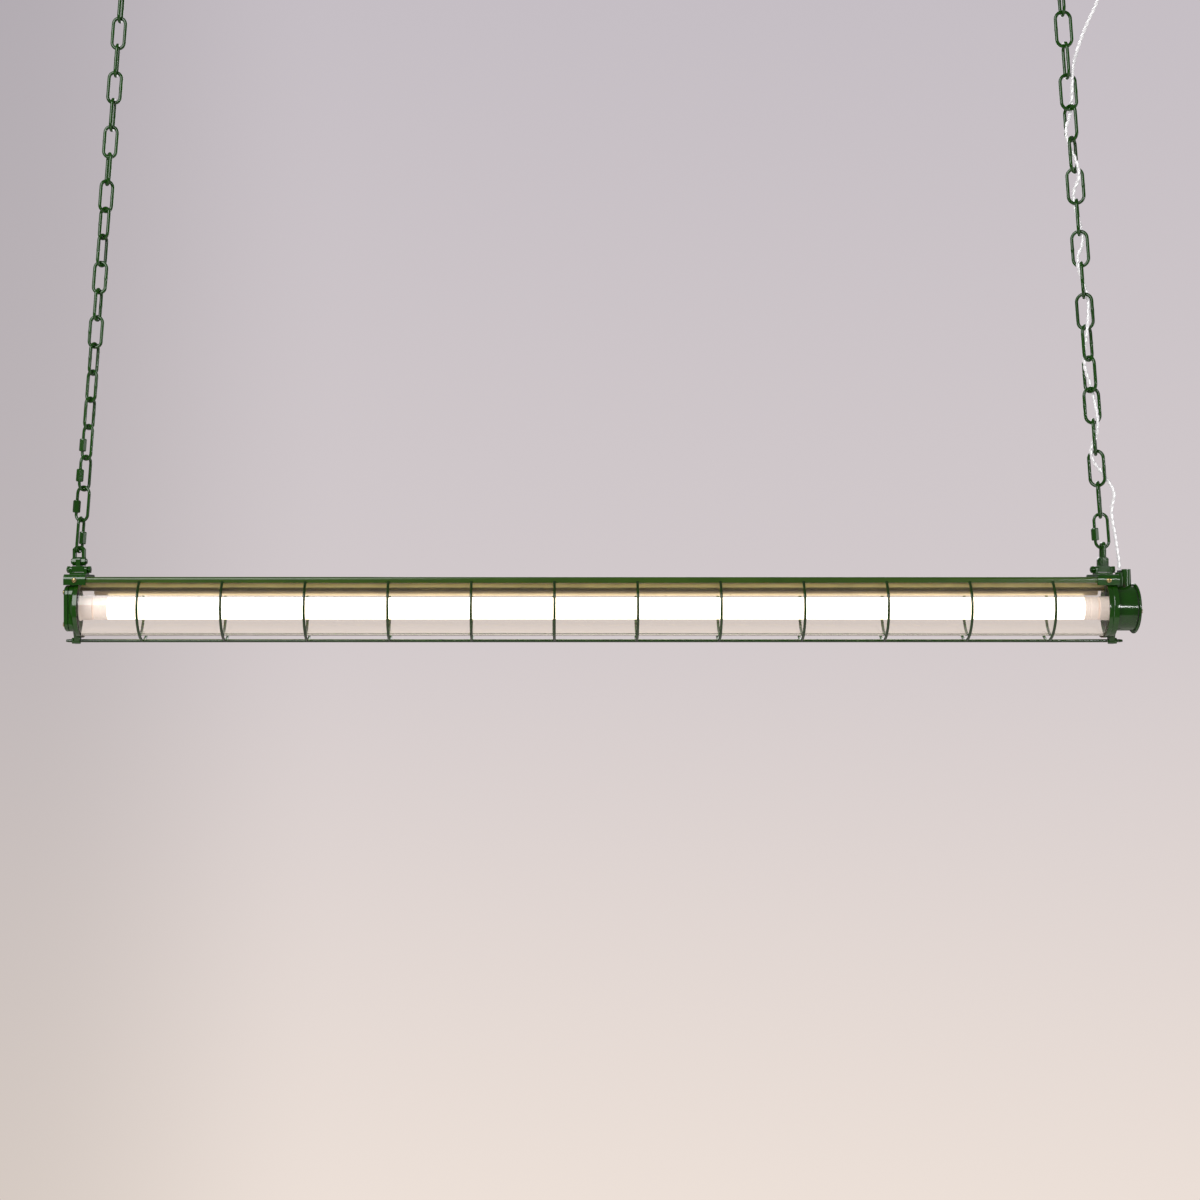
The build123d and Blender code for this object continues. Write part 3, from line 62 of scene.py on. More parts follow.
# Heights and hanging geometry, in millimetres
AXIS_Z = -784.629
PIVOT_Z = -712.129
HOOK_X = 563.0
HANGER_X = 614.0
HOOK_DROP = {-1: 48.787, 1: 36.0}
HOOK_BOW_RADIUS = 11.0
HOOK_WIRE = 5.0
HOOK_NECK = 5.0
CHAIN_START = -2.8            # first seat, above the hook wire's centre at the bottom of the bow
LINK_GAP = 0.1
LINKS = {
    -1: {"inner": 32.75, "width": 18.4, "wire": 4.0,
         "twists": (0, 0, 5, 8, 0, 5, 26, 32, 54, 64, 86, 76, 88, 66, 55, 60)},
    1: {"inner": 37.85, "width": 22.0, "wire": 4.0,
        "twists": (0, 0, 0, 0, 28, 53, 73, 72, 66, 73, 62, 43, 28, 5, -18, -36, -20)},
}
QUICK = {"inner": 37.2, "width": 19.8, "wire": 3.8, "gap": 6.0, "drop": 3.5, "sleeve": 15.0,
         "flats": 7.8}
QUICK_TWISTS = {-1: (52, 58, 70, 80), 1: (0,)}
SLEEVE_SIDES = {-1: (-1, -1, -1, 1), 1: (-1,)}

# Fixture pieces, about the tube axis
HOOPS = {"count": 12, "first": -537.5, "last": 548.2, "radius": 38.7, "wire": 3.5, "drop": -38.9,
         "rod": 3.8}
CHANNEL = {"ends": (-627.0, 627.5), "half": 23.0, "top": 37.4, "lip": 30.5, "wall": 1.6, "corner": 3.0}
ROD_ENDS = (-629.6, 637.6)
NUTS = ((-622.4, -619.2), (627.2, 630.4))
NUT_FLATS = 7.0
GLASS = {"ends": (-614.2, 617.4), "outer": 33.0, "wall": 2.8, "rim": 0.7}
LAMP = {"ends": (-593.9, 605.1), "radius": 13.0, "cap": 13.3, "cap_length": 16.0, "pin_side": 6.35}
TRAY_ENDS, REFLECTOR_ENDS = (-608.5, 611.5), (-592.0, 603.5)
COVER_SCREWS = (
    {"seat": -626.6, "out": -1, "circle": 54.0, "first": 45.0},
    {"seat": 652.4, "out": 1, "circle": 47.2, "first": 8.0},
)
SIDE_SCREW_SEAT = {"y": 26.1, "z": 33.2}
SCREW_HEAD = 3.0

# Supply cable: the same route points as the CAD tube, in metres
CABLE_LOWER = (
    (0.6338, 0.0, -0.73923), (0.6338, 0.0, -0.72763), (0.6314, 0.0002, -0.71363),
    (0.6292, -0.0006, -0.69863), (0.6256, -0.0015, -0.68263), (0.6236, -0.0011, -0.66513),
    (0.6278, -0.0069, -0.64593),
    (0.61667, 0.0019, -0.62521), (0.59518, -0.001, -0.59957), (0.60953, -0.0066, -0.56915),
    (0.60586, -0.00015, -0.54378),
)
CABLE_UPPER = (
    (0.60586, -0.00015, -0.54378), (0.6022, 0.0063, -0.5184), (0.58985, 0.0015, -0.48905),
    (0.59461, -0.0079, -0.44307), (0.59939, 0.0057, -0.4094), (0.57869, -0.0046, -0.36761),
    (0.59475, 0.0016, -0.34388), (0.57649, 0.0069, -0.2879), (0.58779, -0.0083, -0.2649),
    (0.56703, 0.0003, -0.21574), (0.57863, 0.0065, -0.18742), (0.57538, -0.0071, -0.14034),
    (0.5851, 0.0051, -0.112), (0.596, 0.004, -0.082), (0.607, 0.0015, -0.059), (0.612, 0.0, -0.043),
    (0.612, 0.0, -0.029),
)

# Photograph's viewpoint
CAMERA_PLACE = (-0.0552, -2.352, AXIS_Z * MM + 0.00996)
LENS = 58.8
SHIFT_X = 55 / 1200
WALL_ABOVE = (0.552, 0.509, 0.55)
WALL_MIDDLE = (0.645, 0.588, 0.602)
WALL_BELOW = (0.86, 0.76, 0.69)
FLOOR_HALF, FLOOR_HEIGHT = 2.0, -2.2


# Camera, floor and light

def make_camera():
    """Level camera straight in front, at the photograph's distance."""
    data = bpy.data.cameras.new("camera")
    data.lens = LENS
    data.sensor_width = 36
    data.shift_x = SHIFT_X
    camera = bpy.data.objects.new("camera", data)
    camera.location = CAMERA_PLACE
    camera.rotation_euler = (radians(90), 0, 0)
    scene.collection.objects.link(camera)
    scene.camera = camera


def new_material(name):
    """Node material that holds only an output: the material, its tree and that node."""
    material = bpy.data.materials.new(name)
    material.use_nodes = True
    tree = material.node_tree
    tree.nodes.clear()
    return material, tree, tree.nodes.new("ShaderNodeOutputMaterial")


def either_ray(tree, first, second):
    """Mask for rays of either of two kinds."""
    path = tree.nodes.new("ShaderNodeLightPath")
    either = tree.nodes.new("ShaderNodeMath")
    either.operation = "MAXIMUM"
    tree.links.new(path.outputs[first], either.inputs[0])
    tree.links.new(path.outputs[second], either.inputs[1])
    return either.outputs[0]


def mix_into(output, tree, mask, first, second):
    """Two shaders mixed by a mask, as the surface of an output."""
    mix = tree.nodes.new("ShaderNodeMixShader")
    tree.links.new(mask, mix.inputs["Fac"])
    tree.links.new(first.outputs[0], mix.inputs[1])
    tree.links.new(second.outputs[0], mix.inputs[2])
    tree.links.new(mix.outputs[0], output.inputs["Surface"])


def make_floor():
    """Plain pale floor far below the light, as light as the wall where it is seen through glass."""
    size, height = FLOOR_HALF, FLOOR_HEIGHT
    mesh = bpy.data.meshes.new("floor")
    corners = [(-size, -size, height), (size, -size, height), (size, size, height), (-size, size, height)]
    mesh.from_pydata(corners, [], [(0, 1, 2, 3)])
    floor = bpy.data.objects.new("floor", mesh)
    material, tree, output = new_material("pale_floor")
    shader = tree.nodes.new("ShaderNodeBsdfDiffuse")
    shader.inputs["Color"].default_value = (0.85, 0.8, 0.78, 1)
    glow = tree.nodes.new("ShaderNodeEmission")
    glow.inputs["Color"].default_value = (*WALL_BELOW, 1)
    path = tree.nodes.new("ShaderNodeLightPath")
    mix_into(output, tree, path.outputs["Is Transmission Ray"], shader, glow)
    mesh.materials.append(material)
    scene.collection.objects.link(floor)


def make_world():
    """Pale room, lighter towards its floor; the light it gives is weaker than what is seen of it."""
    world = bpy.data.worlds.new("room")
    scene.world = world
    world.use_nodes = True
    tree = world.node_tree
    tree.nodes.clear()
    output = tree.nodes.new("ShaderNodeOutputWorld")
    direction = tree.nodes.new("ShaderNodeTexCoord")
    parts = tree.nodes.new("ShaderNodeSeparateXYZ")
    height = tree.nodes.new("ShaderNodeMapRange")
    height.inputs["From Min"].default_value = -0.32
    height.inputs["From Max"].default_value = 0.32
    tones = tree.nodes.new("ShaderNodeValToRGB")
    tones.color_ramp.elements[0].color = (*WALL_BELOW, 1)
    tones.color_ramp.elements[1].color = (*WALL_ABOVE, 1)
    tones.color_ramp.elements.new(0.5).color = (*WALL_MIDDLE, 1)
    tree.links.new(direction.outputs["Generated"], parts.inputs[0])
    tree.links.new(parts.outputs["Z"], height.inputs["Value"])
    tree.links.new(height.outputs["Result"], tones.inputs["Fac"])
    seen = tree.nodes.new("ShaderNodeBackground")
    tree.links.new(tones.outputs["Color"], seen.inputs["Color"])
    side = tree.nodes.new("ShaderNodeMapRange")
    side.interpolation_type = "SMOOTHSTEP"
    for name, value in (("From Min", -0.27), ("From Max", -0.1), ("To Min", 0.8), ("To Max", 1.0)):
        side.inputs[name].default_value = value
    tree.links.new(parts.outputs["X"], side.inputs["Value"])
    tree.links.new(side.outputs["Result"], seen.inputs["Strength"])
    lighting = tree.nodes.new("ShaderNodeBackground")
    lighting.inputs["Color"].default_value = (*WALL_MIDDLE, 1)
    path = tree.nodes.new("ShaderNodeLightPath")
    dimmed = tree.nodes.new("ShaderNodeMapRange")
    dimmed.inputs["To Min"].default_value = 0.5
    dimmed.inputs["To Max"].default_value = 0.2
    tree.links.new(path.outputs["Is Glossy Ray"], dimmed.inputs["Value"])
    tree.links.new(dimmed.outputs["Result"], lighting.inputs["Strength"])
    in_view = either_ray(tree, "Is Camera Ray", "Is Transmission Ray")
    mix_into(output, tree, in_view, lighting, seen)


def area_light(name, place, target, size, power, height=None):
    """Soft light aimed at a point, square unless a height is given."""
    data = bpy.data.lights.new(name, "AREA")
    data.shape = "RECTANGLE"
    data.size = size
    data.size_y = height or size
    data.energy = power
    light = bpy.data.objects.new(name, data)
    light.location = place
    light.rotation_euler = (Vector(target) - Vector(place)).to_track_quat("-Z", "Y").to_euler()
    light.visible_transmission = False
    scene.collection.objects.link(light)


def make_lights():
    """Large soft key from the upper left in front, a narrow strip on the right, and fills."""
    middle = (0, 0, AXIS_Z * MM)
    area_light("key_light", (-1.5, -2.6, 0.9), middle, 2.2, 84)
    area_light("strip_light", (1.265, -2.35, -0.44), (0.62, 0, AXIS_Z * MM), 0.1, 4.5, 0.26)
    area_light("fill_light", (2.9, -0.6, -1.0), middle, 1.6, 14)
    area_light("back_light", (0.4, 2.6, 0.3), middle, 1.8, 22)


# Materials

def socket(tree, name, kind, direction="INPUT", value=None):
    """Adds one socket to a node group."""
    item = tree.interface.new_socket(name=name, in_out=direction, socket_type=kind)
    if value is not None:
        item.default_value = value
    return item


def make_finish_group():
    """Surface of a sprayed or moulded finish: tone that drifts, fine grain and its bump."""
    tree = bpy.data.node_groups.new("sprayed finish", "ShaderNodeTree")
    socket(tree, "Color", "NodeSocketColor", value=(0.5, 0.5, 0.5, 1))
    socket(tree, "Worn Color", "NodeSocketColor", value=(0.5, 0.5, 0.5, 1))
    socket(tree, "Drift Scale", "NodeSocketFloat", value=30.0)
    socket(tree, "Grain Scale", "NodeSocketFloat", value=900.0)
    socket(tree, "Grain Height", "NodeSocketFloat", value=0.1)
    socket(tree, "Roughness", "NodeSocketFloat", value=0.3)
    socket(tree, "Roughness Spread", "NodeSocketFloat", value=0.1)
    socket(tree, "Color", "NodeSocketColor", "OUTPUT")
    socket(tree, "Roughness", "NodeSocketFloat", "OUTPUT")
    socket(tree, "Normal", "NodeSocketVector", "OUTPUT")
    add, link = tree.nodes.new, tree.links.new
    given, out = add("NodeGroupInput"), add("NodeGroupOutput")
    place = add("ShaderNodeTexCoord")
    drift = add("ShaderNodeTexNoise")
    drift.inputs["Detail"].default_value = 4
    link(place.outputs["Object"], drift.inputs["Vector"])
    link(given.outputs["Drift Scale"], drift.inputs["Scale"])
    spread = add("ShaderNodeMapRange")
    spread.inputs["From Min"].default_value = 0.42
    spread.inputs["From Max"].default_value = 0.68
    link(drift.outputs["Fac"], spread.inputs["Value"])
    tone = add("ShaderNodeMix")
    tone.data_type = "RGBA"
    link(spread.outputs["Result"], tone.inputs["Factor"])
    link(given.outputs["Color"], tone.inputs["A"])
    link(given.outputs["Worn Color"], tone.inputs["B"])
    link(tone.outputs["Result"], out.inputs["Color"])
    grain = add("ShaderNodeTexNoise")
    grain.inputs["Detail"].default_value = 2
    link(place.outputs["Object"], grain.inputs["Vector"])
    link(given.outputs["Grain Scale"], grain.inputs["Scale"])
    bump = add("ShaderNodeBump")
    bump.inputs["Distance"].default_value = 0.0003
    link(given.outputs["Grain Height"], bump.inputs["Strength"])
    link(grain.outputs["Fac"], bump.inputs["Height"])
    link(bump.outputs["Normal"], out.inputs["Normal"])
    centred = add("ShaderNodeMath")
    centred.operation = "SUBTRACT"
    centred.inputs[1].default_value = 0.5
    link(drift.outputs["Fac"], centred.inputs[0])
    rough = add("ShaderNodeMath")
    rough.operation = "MULTIPLY_ADD"
    link(centred.outputs[0], rough.inputs[0])
    link(given.outputs["Roughness Spread"], rough.inputs[1])
    link(given.outputs["Roughness"], rough.inputs[2])
    link(rough.outputs[0], out.inputs["Roughness"])
    return tree


finish_group = make_finish_group()


def finish(name, color, worn, rough, spread=0.1, drift=25.0, grain=900.0, height=0.1, **sockets):
    """Material from the shared finish group; `sockets` are constants on the shader itself."""
    material, tree, output = new_material(name)
    shader = tree.nodes.new("ShaderNodeBsdfPrincipled")
    group = tree.nodes.new("ShaderNodeGroup")
    group.node_tree = finish_group
    group.inputs["Color"].default_value = (*color, 1)
    group.inputs["Worn Color"].default_value = (*worn, 1)
    group.inputs["Drift Scale"].default_value = drift
    group.inputs["Grain Scale"].default_value = grain
    group.inputs["Grain Height"].default_value = height
    group.inputs["Roughness"].default_value = rough
    group.inputs["Roughness Spread"].default_value = spread
    tree.links.new(group.outputs["Color"], shader.inputs["Base Color"])
    tree.links.new(group.outputs["Roughness"], shader.inputs["Roughness"])
    tree.links.new(group.outputs["Normal"], shader.inputs["Normal"])
    for socket_name, value in sockets.items():
        shader.inputs[socket_name.replace("_", " ")].default_value = value
    tree.links.new(shader.outputs[0], output.inputs["Surface"])
    return material


def glass_material():
    """Clear polished glass that lets the lamp's light through."""
    material, tree, output = new_material("clear_glass")
    shader = tree.nodes.new("ShaderNodeBsdfPrincipled")
    shader.inputs["Base Color"].default_value = (1.0, 0.985, 0.95, 1)
    shader.inputs["Roughness"].default_value = 0.0
    shader.inputs["IOR"].default_value = 1.5
    shader.inputs["Transmission Weight"].default_value = 1.0
    clear = tree.nodes.new("ShaderNodeBsdfTransparent")
    mix_into(output, tree, either_ray(tree, "Is Shadow Ray", "Is Diffuse Ray"), shader, clear)
    return material


def lamp_material():
    """Frosted lamp glass, lit from inside."""
    material, tree, output = new_material("lit_lamp_glass")
    shader = tree.nodes.new("ShaderNodeBsdfPrincipled")
    shader.inputs["Base Color"].default_value = (0.9, 0.88, 0.84, 1)
    shader.inputs["Roughness"].default_value = 0.35
    place = tree.nodes.new("ShaderNodeTexCoord")
    noise = tree.nodes.new("ShaderNodeTexNoise")
    noise.inputs["Scale"].default_value = 14
    ramp = tree.nodes.new("ShaderNodeMix")
    ramp.data_type = "RGBA"
    ramp.inputs["A"].default_value = (1.0, 0.86, 0.62, 1)
    ramp.inputs["B"].default_value = (1.0, 0.89, 0.67, 1)
    tree.links.new(place.outputs["Object"], noise.inputs["Vector"])
    tree.links.new(noise.outputs["Fac"], ramp.inputs["Factor"])
    tree.links.new(ramp.outputs["Result"], shader.inputs["Emission Color"])
    shader.inputs["Emission Strength"].default_value = 3.6
    tree.links.new(shader.outputs[0], output.inputs["Surface"])
    return material


DARK_GREEN, DEEP_GREEN = (0.01, 0.066, 0.003), (0.007, 0.046, 0.002)
# Warm emission for the lamp's end caps and the lampholders: painted glow, as if lit by the lamp
CAP_PAINTED_GLOW = {"Emission_Color": (1.0, 0.86, 0.76, 1)}
materials = {
    "green_paint": finish("green_enamel", DARK_GREEN, DEEP_GREEN, 0.13, 0.1, 22, 420, 0.05,
                          Coat_Weight=0.25, Coat_Roughness=0.05),
    "green_casting": finish("green_enamel_on_casting", DARK_GREEN, DEEP_GREEN, 0.14, 0.12, 30, 260,
                            0.16, Coat_Weight=0.25, Coat_Roughness=0.06),
    "clear_glass": glass_material(),
    "black_rubber": finish("black_rubber", (0.02, 0.02, 0.02), (0.035, 0.034, 0.032), 0.6, 0.2, 60, 1400,
                           0.3),
    "zinc_steel": finish("zinc_plated_steel", (0.62, 0.62, 0.6), (0.5, 0.5, 0.47), 0.28, 0.2, 90, 1500,
                         0.1, Metallic=1.0),
    "brass": finish("brass", (0.72, 0.52, 0.2), (0.6, 0.42, 0.15), 0.25, 0.2, 80, 1200, 0.1,
                    Metallic=1.0),
    "white_plastic": finish("white_moulded_plastic", (0.8, 0.78, 0.72), (0.74, 0.72, 0.66), 0.38, 0.1, 40,
                            1600, 0.12),
    "lamp_glass": lamp_material(),
    "aluminium": finish("satin_aluminium", (0.86, 0.82, 0.78), (0.8, 0.76, 0.72), 0.5, 0.15, 60, 1300, 0.1,
                        Metallic=0.25),
    "cap_plastic": finish("cap_plastic_painted_glow", (0.82, 0.72, 0.66), (0.76, 0.66, 0.6), 0.5, 0.15, 60,
                          1300, 0.1, Emission_Strength=0.32, **CAP_PAINTED_GLOW),
    "holder_plastic": finish("white_plastic_painted_glow", (0.8, 0.7, 0.64), (0.74, 0.65, 0.6), 0.5, 0.1, 40, 1600,
                             0.12, Emission_Strength=0.2, **CAP_PAINTED_GLOW),
    "reflector": finish("gold_reflector_enamel", (0.2, 0.155, 0.08), (0.16, 0.12, 0.06), 0.3, 0.15, 40,
                        900, 0.1),
    "carrier": finish("brown_carrier_enamel", (0.045, 0.032, 0.006), (0.03, 0.022, 0.004), 0.4, 0.15, 40,
                      900, 0.1),
    # Pale olive for the channel's inner faces and the carrier web: painted warm lamplight on faces that are
    # green enamel
    "channel_inside": finish("olive_painted_lamplight", (0.6, 0.54, 0.25), (0.5, 0.45, 0.2), 0.45, 0.15, 40, 700,
                             0.2),
    # Near-black brown on the casting faces that look into the glass: painted shade on the green enamel
    # inside the castings
    "casting_inside": finish("casting_inside_painted_shade", (0.03, 0.016, 0.007), (0.05, 0.028, 0.014), 0.5, 0.15,
                             40, 700, 0.2),
    "channel_green": finish("green_enamel_on_channel", (0.04, 0.092, 0.009), (0.03, 0.074, 0.007), 0.18,
                            0.12, 22, 420, 0.05, Coat_Weight=0.25, Coat_Roughness=0.05),
    # Darker copy of the green enamel for the hoops, beads and tie rod: painted shade on the thin wires
    "guard_shaded_green": finish("green_enamel_painted_shade_on_wire", (0.012, 0.042, 0.005), (0.008, 0.03, 0.004), 0.2, 0.12,
                          22, 420, 0.05, Coat_Weight=0.25, Coat_Roughness=0.05),
    "brass_screw": finish("brass_plated_screw", (0.78, 0.62, 0.3), (0.6, 0.46, 0.2), 0.22, 0.2, 90, 1500,
                          0.1, Metallic=1.0),
    # The cable's faint white emission is painted sheen on the clear insulation
    "clear_cable": finish("clear_insulation_on_silver_strands_painted_glow", (0.95, 0.94, 0.94), (0.75, 0.73, 0.73),
                          0.2, 0.2, 300, 2600, 0.3, Metallic=0.3, Coat_Weight=1.0, Coat_Roughness=0.05,
                          Emission_Color=(0.95, 0.97, 1.0, 1), Emission_Strength=0.22),
    "lead_insulation": finish("lead_insulation", (0.45, 0.12, 0.06), (0.38, 0.1, 0.05), 0.3, 0.1, 60,
                              900, 0.1),
}


# Mesh helpers

def grid_faces(rows, columns, close_rows=False):
    """Corner numbers of the quads of a grid of points whose every row runs round."""
    i = np.arange(rows if close_rows else rows - 1)
    j = np.arange(columns)
    i, j = (a.ravel() for a in np.meshgrid(i, j, indexing="ij"))
    i1, j1 = (i + 1) % rows, (j + 1) % columns
    return np.stack([i * columns + j, i1 * columns + j, i1 * columns + j1, i * columns + j1], axis=1)


def joined(surfaces):
    """Several (points, faces) pairs as one pair."""
    start, points, faces = 0, [], []
    for some_points, some_faces in surfaces:
        points.append(some_points)
        faces.append(some_faces + start)
        start += len(some_points)
    return np.vstack(points), np.vstack(faces)


def piece(name, surfaces, slot, body, replaced=(), sharp=40.0, look=None):
    """Object from surfaces in millimetres; doubles merged, faces outward, smooth up to `sharp` degrees."""
    points, faces = joined(surfaces)
    mesh = bpy.data.meshes.new(name)
    mesh.from_pydata((points * MM).tolist(), [], faces.tolist())
    bm = bmesh.new()
    bm.from_mesh(mesh)
    bmesh.ops.remove_doubles(bm, verts=bm.verts, dist=1e-6)
    bmesh.ops.recalc_face_normals(bm, faces=bm.faces)
    finish_mesh(bm, mesh, sharp)
    obj = bpy.data.objects.new(name, mesh)
    scene.collection.objects.link(obj)
    mesh.materials.append(materials[look or slot])
    if body:
        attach(obj, body)
    if replaced:
        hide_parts(*replaced)
    return obj


def finish_mesh(bm, mesh, sharp):
    """Smooth faces with sharp edges above an angle, written back to the mesh."""
    for face in bm.faces:
        face.smooth = True
    for edge in bm.edges:
        edge.smooth = len(edge.link_faces) != 2 or edge.calc_face_angle(0) < radians(sharp)
    bm.to_mesh(mesh)
    bm.free()


def softened(node, width, look=None):
    """A CAD node's own shape with its edges rounded, standing for the node."""
    mesh = nodes[node].data.copy()
    mesh.materials.clear()
    bm = bmesh.new()
    bm.from_mesh(mesh)
    bmesh.ops.remove_doubles(bm, verts=bm.verts, dist=2e-6)
    bmesh.ops.dissolve_limit(bm, angle_limit=radians(0.5), verts=bm.verts, edges=bm.edges)
    edges = [e for e in bm.edges if len(e.link_faces) == 2 and e.calc_face_angle(0) > radians(30)]
    bmesh.ops.bevel(bm, geom=edges, offset=width * MM, segments=2, profile=0.5, affect="EDGES",
                    clamp_overlap=True)
    finish_mesh(bm, mesh, 40.0)
    obj = bpy.data.objects.new(node + "_finished", mesh)
    scene.collection.objects.link(obj)
    even = obj.modifiers.new("large faces lead", "WEIGHTED_NORMAL")
    even.keep_sharp = True
    even.weight = 90
    mesh.materials.append(materials[look or slot_of_node[node]])
    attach(obj, body_of_node[node])
    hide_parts(node)


def tube_along(path, radius, around, across, closed=False):
    """Round tube: each point plus radius times the circle between two normals of the path."""
    path = np.asarray(path, float)
    ahead = np.roll(path, -1, axis=0) if closed else np.vstack([path[1:], 2 * path[-1] - path[-2]])
    behind = np.roll(path, 1, axis=0) if closed else np.vstack([2 * path[0] - path[1], path[:-1]])
    along = ahead - behind
    along /= np.linalg.norm(along, axis=1, keepdims=True)
    across = np.broadcast_to(np.asarray(across, float), path.shape)
    first = np.cross(across, along)
    first /= np.linalg.norm(first, axis=1, keepdims=True)
    second = np.cross(along, first)
    angle = np.linspace(0, 2 * pi, around, endpoint=False)
    size = np.broadcast_to(np.asarray(radius, float), (len(path),))[:, None, None]
    ring = first[:, None] * np.cos(angle)[None, :, None] + second[:, None] * np.sin(angle)[None, :, None]
    rings = path[:, None] + size * ring
    faces = grid_faces(len(path), around, close_rows=closed)
    if closed:
        return rings.reshape(-1, 3), faces
    ends = np.repeat(path[[0, -1]], around, axis=0).reshape(2, around, 3)
    rings = np.concatenate([ends[:1], rings, ends[1:]])
    return rings.reshape(-1, 3), grid_faces(len(path) + 2, around)


def turned(profile, around=48, axis="X", centre=(0, 0, 0)):
    """Surface of revolution: (along, radius) points turned about an axis through `centre`."""
    profile = np.asarray(profile, float)
    angle = np.linspace(0, 2 * pi, around, endpoint=False)
    along = np.repeat(profile[:, :1], around, axis=1)
    one = profile[:, 1:] * np.cos(angle)
    two = profile[:, 1:] * np.sin(angle)
    order = {"X": (along, one, two), "Y": (two, along, one), "Z": (one, two, along)}[axis]
    points = np.stack(order, axis=-1).reshape(-1, 3) + np.asarray(centre, float)
    return points, grid_faces(len(profile), around)


def placed(surface, origin, x_axis, z_axis):
    """Surface moved from its own XZ frame to a place given by two of its axes."""
    points, faces = surface
    x_axis, z_axis = np.asarray(x_axis, float), np.asarray(z_axis, float)
    turn = np.stack([x_axis, np.cross(z_axis, x_axis), z_axis])
    return points @ turn + np.asarray(origin, float), faces


def hexagon_size(flats, angle):
    """Distance from a hexagon's middle to its edge at each angle, from its width across flats."""
    return flats / 2 / np.cos((angle + pi / 6) % (pi / 3) - pi / 6)


# Chains and hooks

def oval_line(inner, width, wire, count=72, start=0.0, stop=1.0):
    """Link's centreline in XZ by its share of the way round: leg, half circle, leg, half circle."""
    radius = (width - wire) / 2
    half = (inner + wire) / 2 - radius
    total = 4 * half + 2 * pi * radius
    s = np.linspace(start, stop, count, endpoint=stop - start < 1) * total % total
    angle_top = (s - half) / radius
    angle_bottom = (s - 3 * half - pi * radius) / radius
    on_top = (s > half) & (s <= half + pi * radius)
    on_left = (s > half + pi * radius) & (s <= 3 * half + pi * radius)
    on_bottom = (s > 3 * half + pi * radius) & (s <= 3 * half + 2 * pi * radius)
    x = np.where(on_top, radius * np.cos(angle_top), radius)
    x = np.where(on_left, -radius, x)
    x = np.where(on_bottom, -radius * np.cos(angle_bottom), x)
    z = np.where(s <= half, s, s - total)
    z = np.where(on_top, half + radius * np.sin(angle_top), z)
    z = np.where(on_left, half - (s - half - pi * radius), z)
    z = np.where(on_bottom, -half - radius * np.sin(angle_bottom), z)
    return np.stack([x, 0 * x, z], axis=1), s / total


def chain_frame(side, reach, turn):
    """Origin and axes at `reach` down a chain from its hook, turned by `turn` degrees."""
    spread = HANGER_X - HOOK_X
    fall = -PIVOT_Z - HOOK_DROP[side]
    total = sqrt(spread ** 2 + fall ** 2)
    up = np.array([-side * spread / total, 0, fall / total])
    across = np.array([fall / total, 0, side * spread / total])
    origin = np.array([side * HOOK_X, 0, -HOOK_DROP[side]]) - up * reach
    turned_x = across * cos(radians(turn)) + np.array([0, 1, 0]) * sin(radians(turn))
    return origin, turned_x, up


def weld_swell(share, place, size, length):
    """Bell-shaped swelling of the wire where the link is welded."""
    away = (share - place + 0.5) % 1 - 0.5
    return size * np.exp(-(away / length) ** 2)


def make_chain(side, name):
    """Welded links as one piece, then the quick links and their sleeves."""
    facts = LINKS[side]
    line, share = oval_line(facts["inner"], facts["width"], facts["wire"])
    radius = facts["wire"] / 2 * (1 + weld_swell(share, 0.0, 0.1, 0.02))
    link = tube_along(line, radius, 14, (0, 1, 0), closed=True)
    reach, links = CHAIN_START, []
    for count, twist in enumerate(facts["twists"], start=1):
        origin, x_axis, up = chain_frame(side, reach + facts["inner"] / 2, 90 * count + twist)
        links.append(placed(link, origin, x_axis, up))
        reach += facts["inner"] - LINK_GAP
    piece(f"{name}_welded_links", links, "green_paint", "suspension", [f"{name}_chain_links"])
    bodies = []
    sides = SLEEVE_SIDES[side]
    for number, (twist, sleeve_side) in enumerate(zip(QUICK_TWISTS[side], sides), start=1):
        count = len(facts["twists"]) + number
        origin, x_axis, up = chain_frame(side, reach + QUICK["inner"] / 2, 90 * count + twist)
        leg = sleeve_side if x_axis[0] > 0 else -sleeve_side
        bodies.append(placed(quick_link(leg), origin, x_axis, up))
        sleeve = placed(quick_sleeve(leg), origin, x_axis, up)
        piece(f"{name}_sleeve_nut_{number}", [sleeve], "green_paint", f"{name}_sleeve_body_{number}",
              [f"{name}_sleeve_{number}"], sharp=25)
        reach += QUICK["inner"] - LINK_GAP
    piece(f"{name}_quick_link_bodies", bodies, "green_paint", "suspension", [f"{name}_quick_links"])


def quick_link(leg):
    """Open oval whose two threaded ends face each other in the sleeve, on the leg towards +X or -X."""
    radius = (QUICK["width"] - QUICK["wire"]) / 2
    half = (QUICK["inner"] + QUICK["wire"]) / 2 - radius
    total = 4 * half + 2 * pi * radius
    low = -QUICK["drop"] - QUICK["gap"] / 2
    high = low + QUICK["gap"]
    line, share = oval_line(QUICK["inner"], QUICK["width"], QUICK["wire"], 120, high / total,
                            1 + low / total)
    length = share * total
    start_thread = np.exp(-((length - length[0]) / 5) ** 8)
    end_thread = np.exp(-((length[-1] - length) / 5) ** 8)
    thread = np.maximum(start_thread, end_thread) * 0.04 * np.sin(length * 2 * pi / 0.9)
    size = QUICK["wire"] / 2 * (0.97 + thread)
    line[:, 0] *= leg
    return tube_along(line, size, 14, (0, 1, 0))


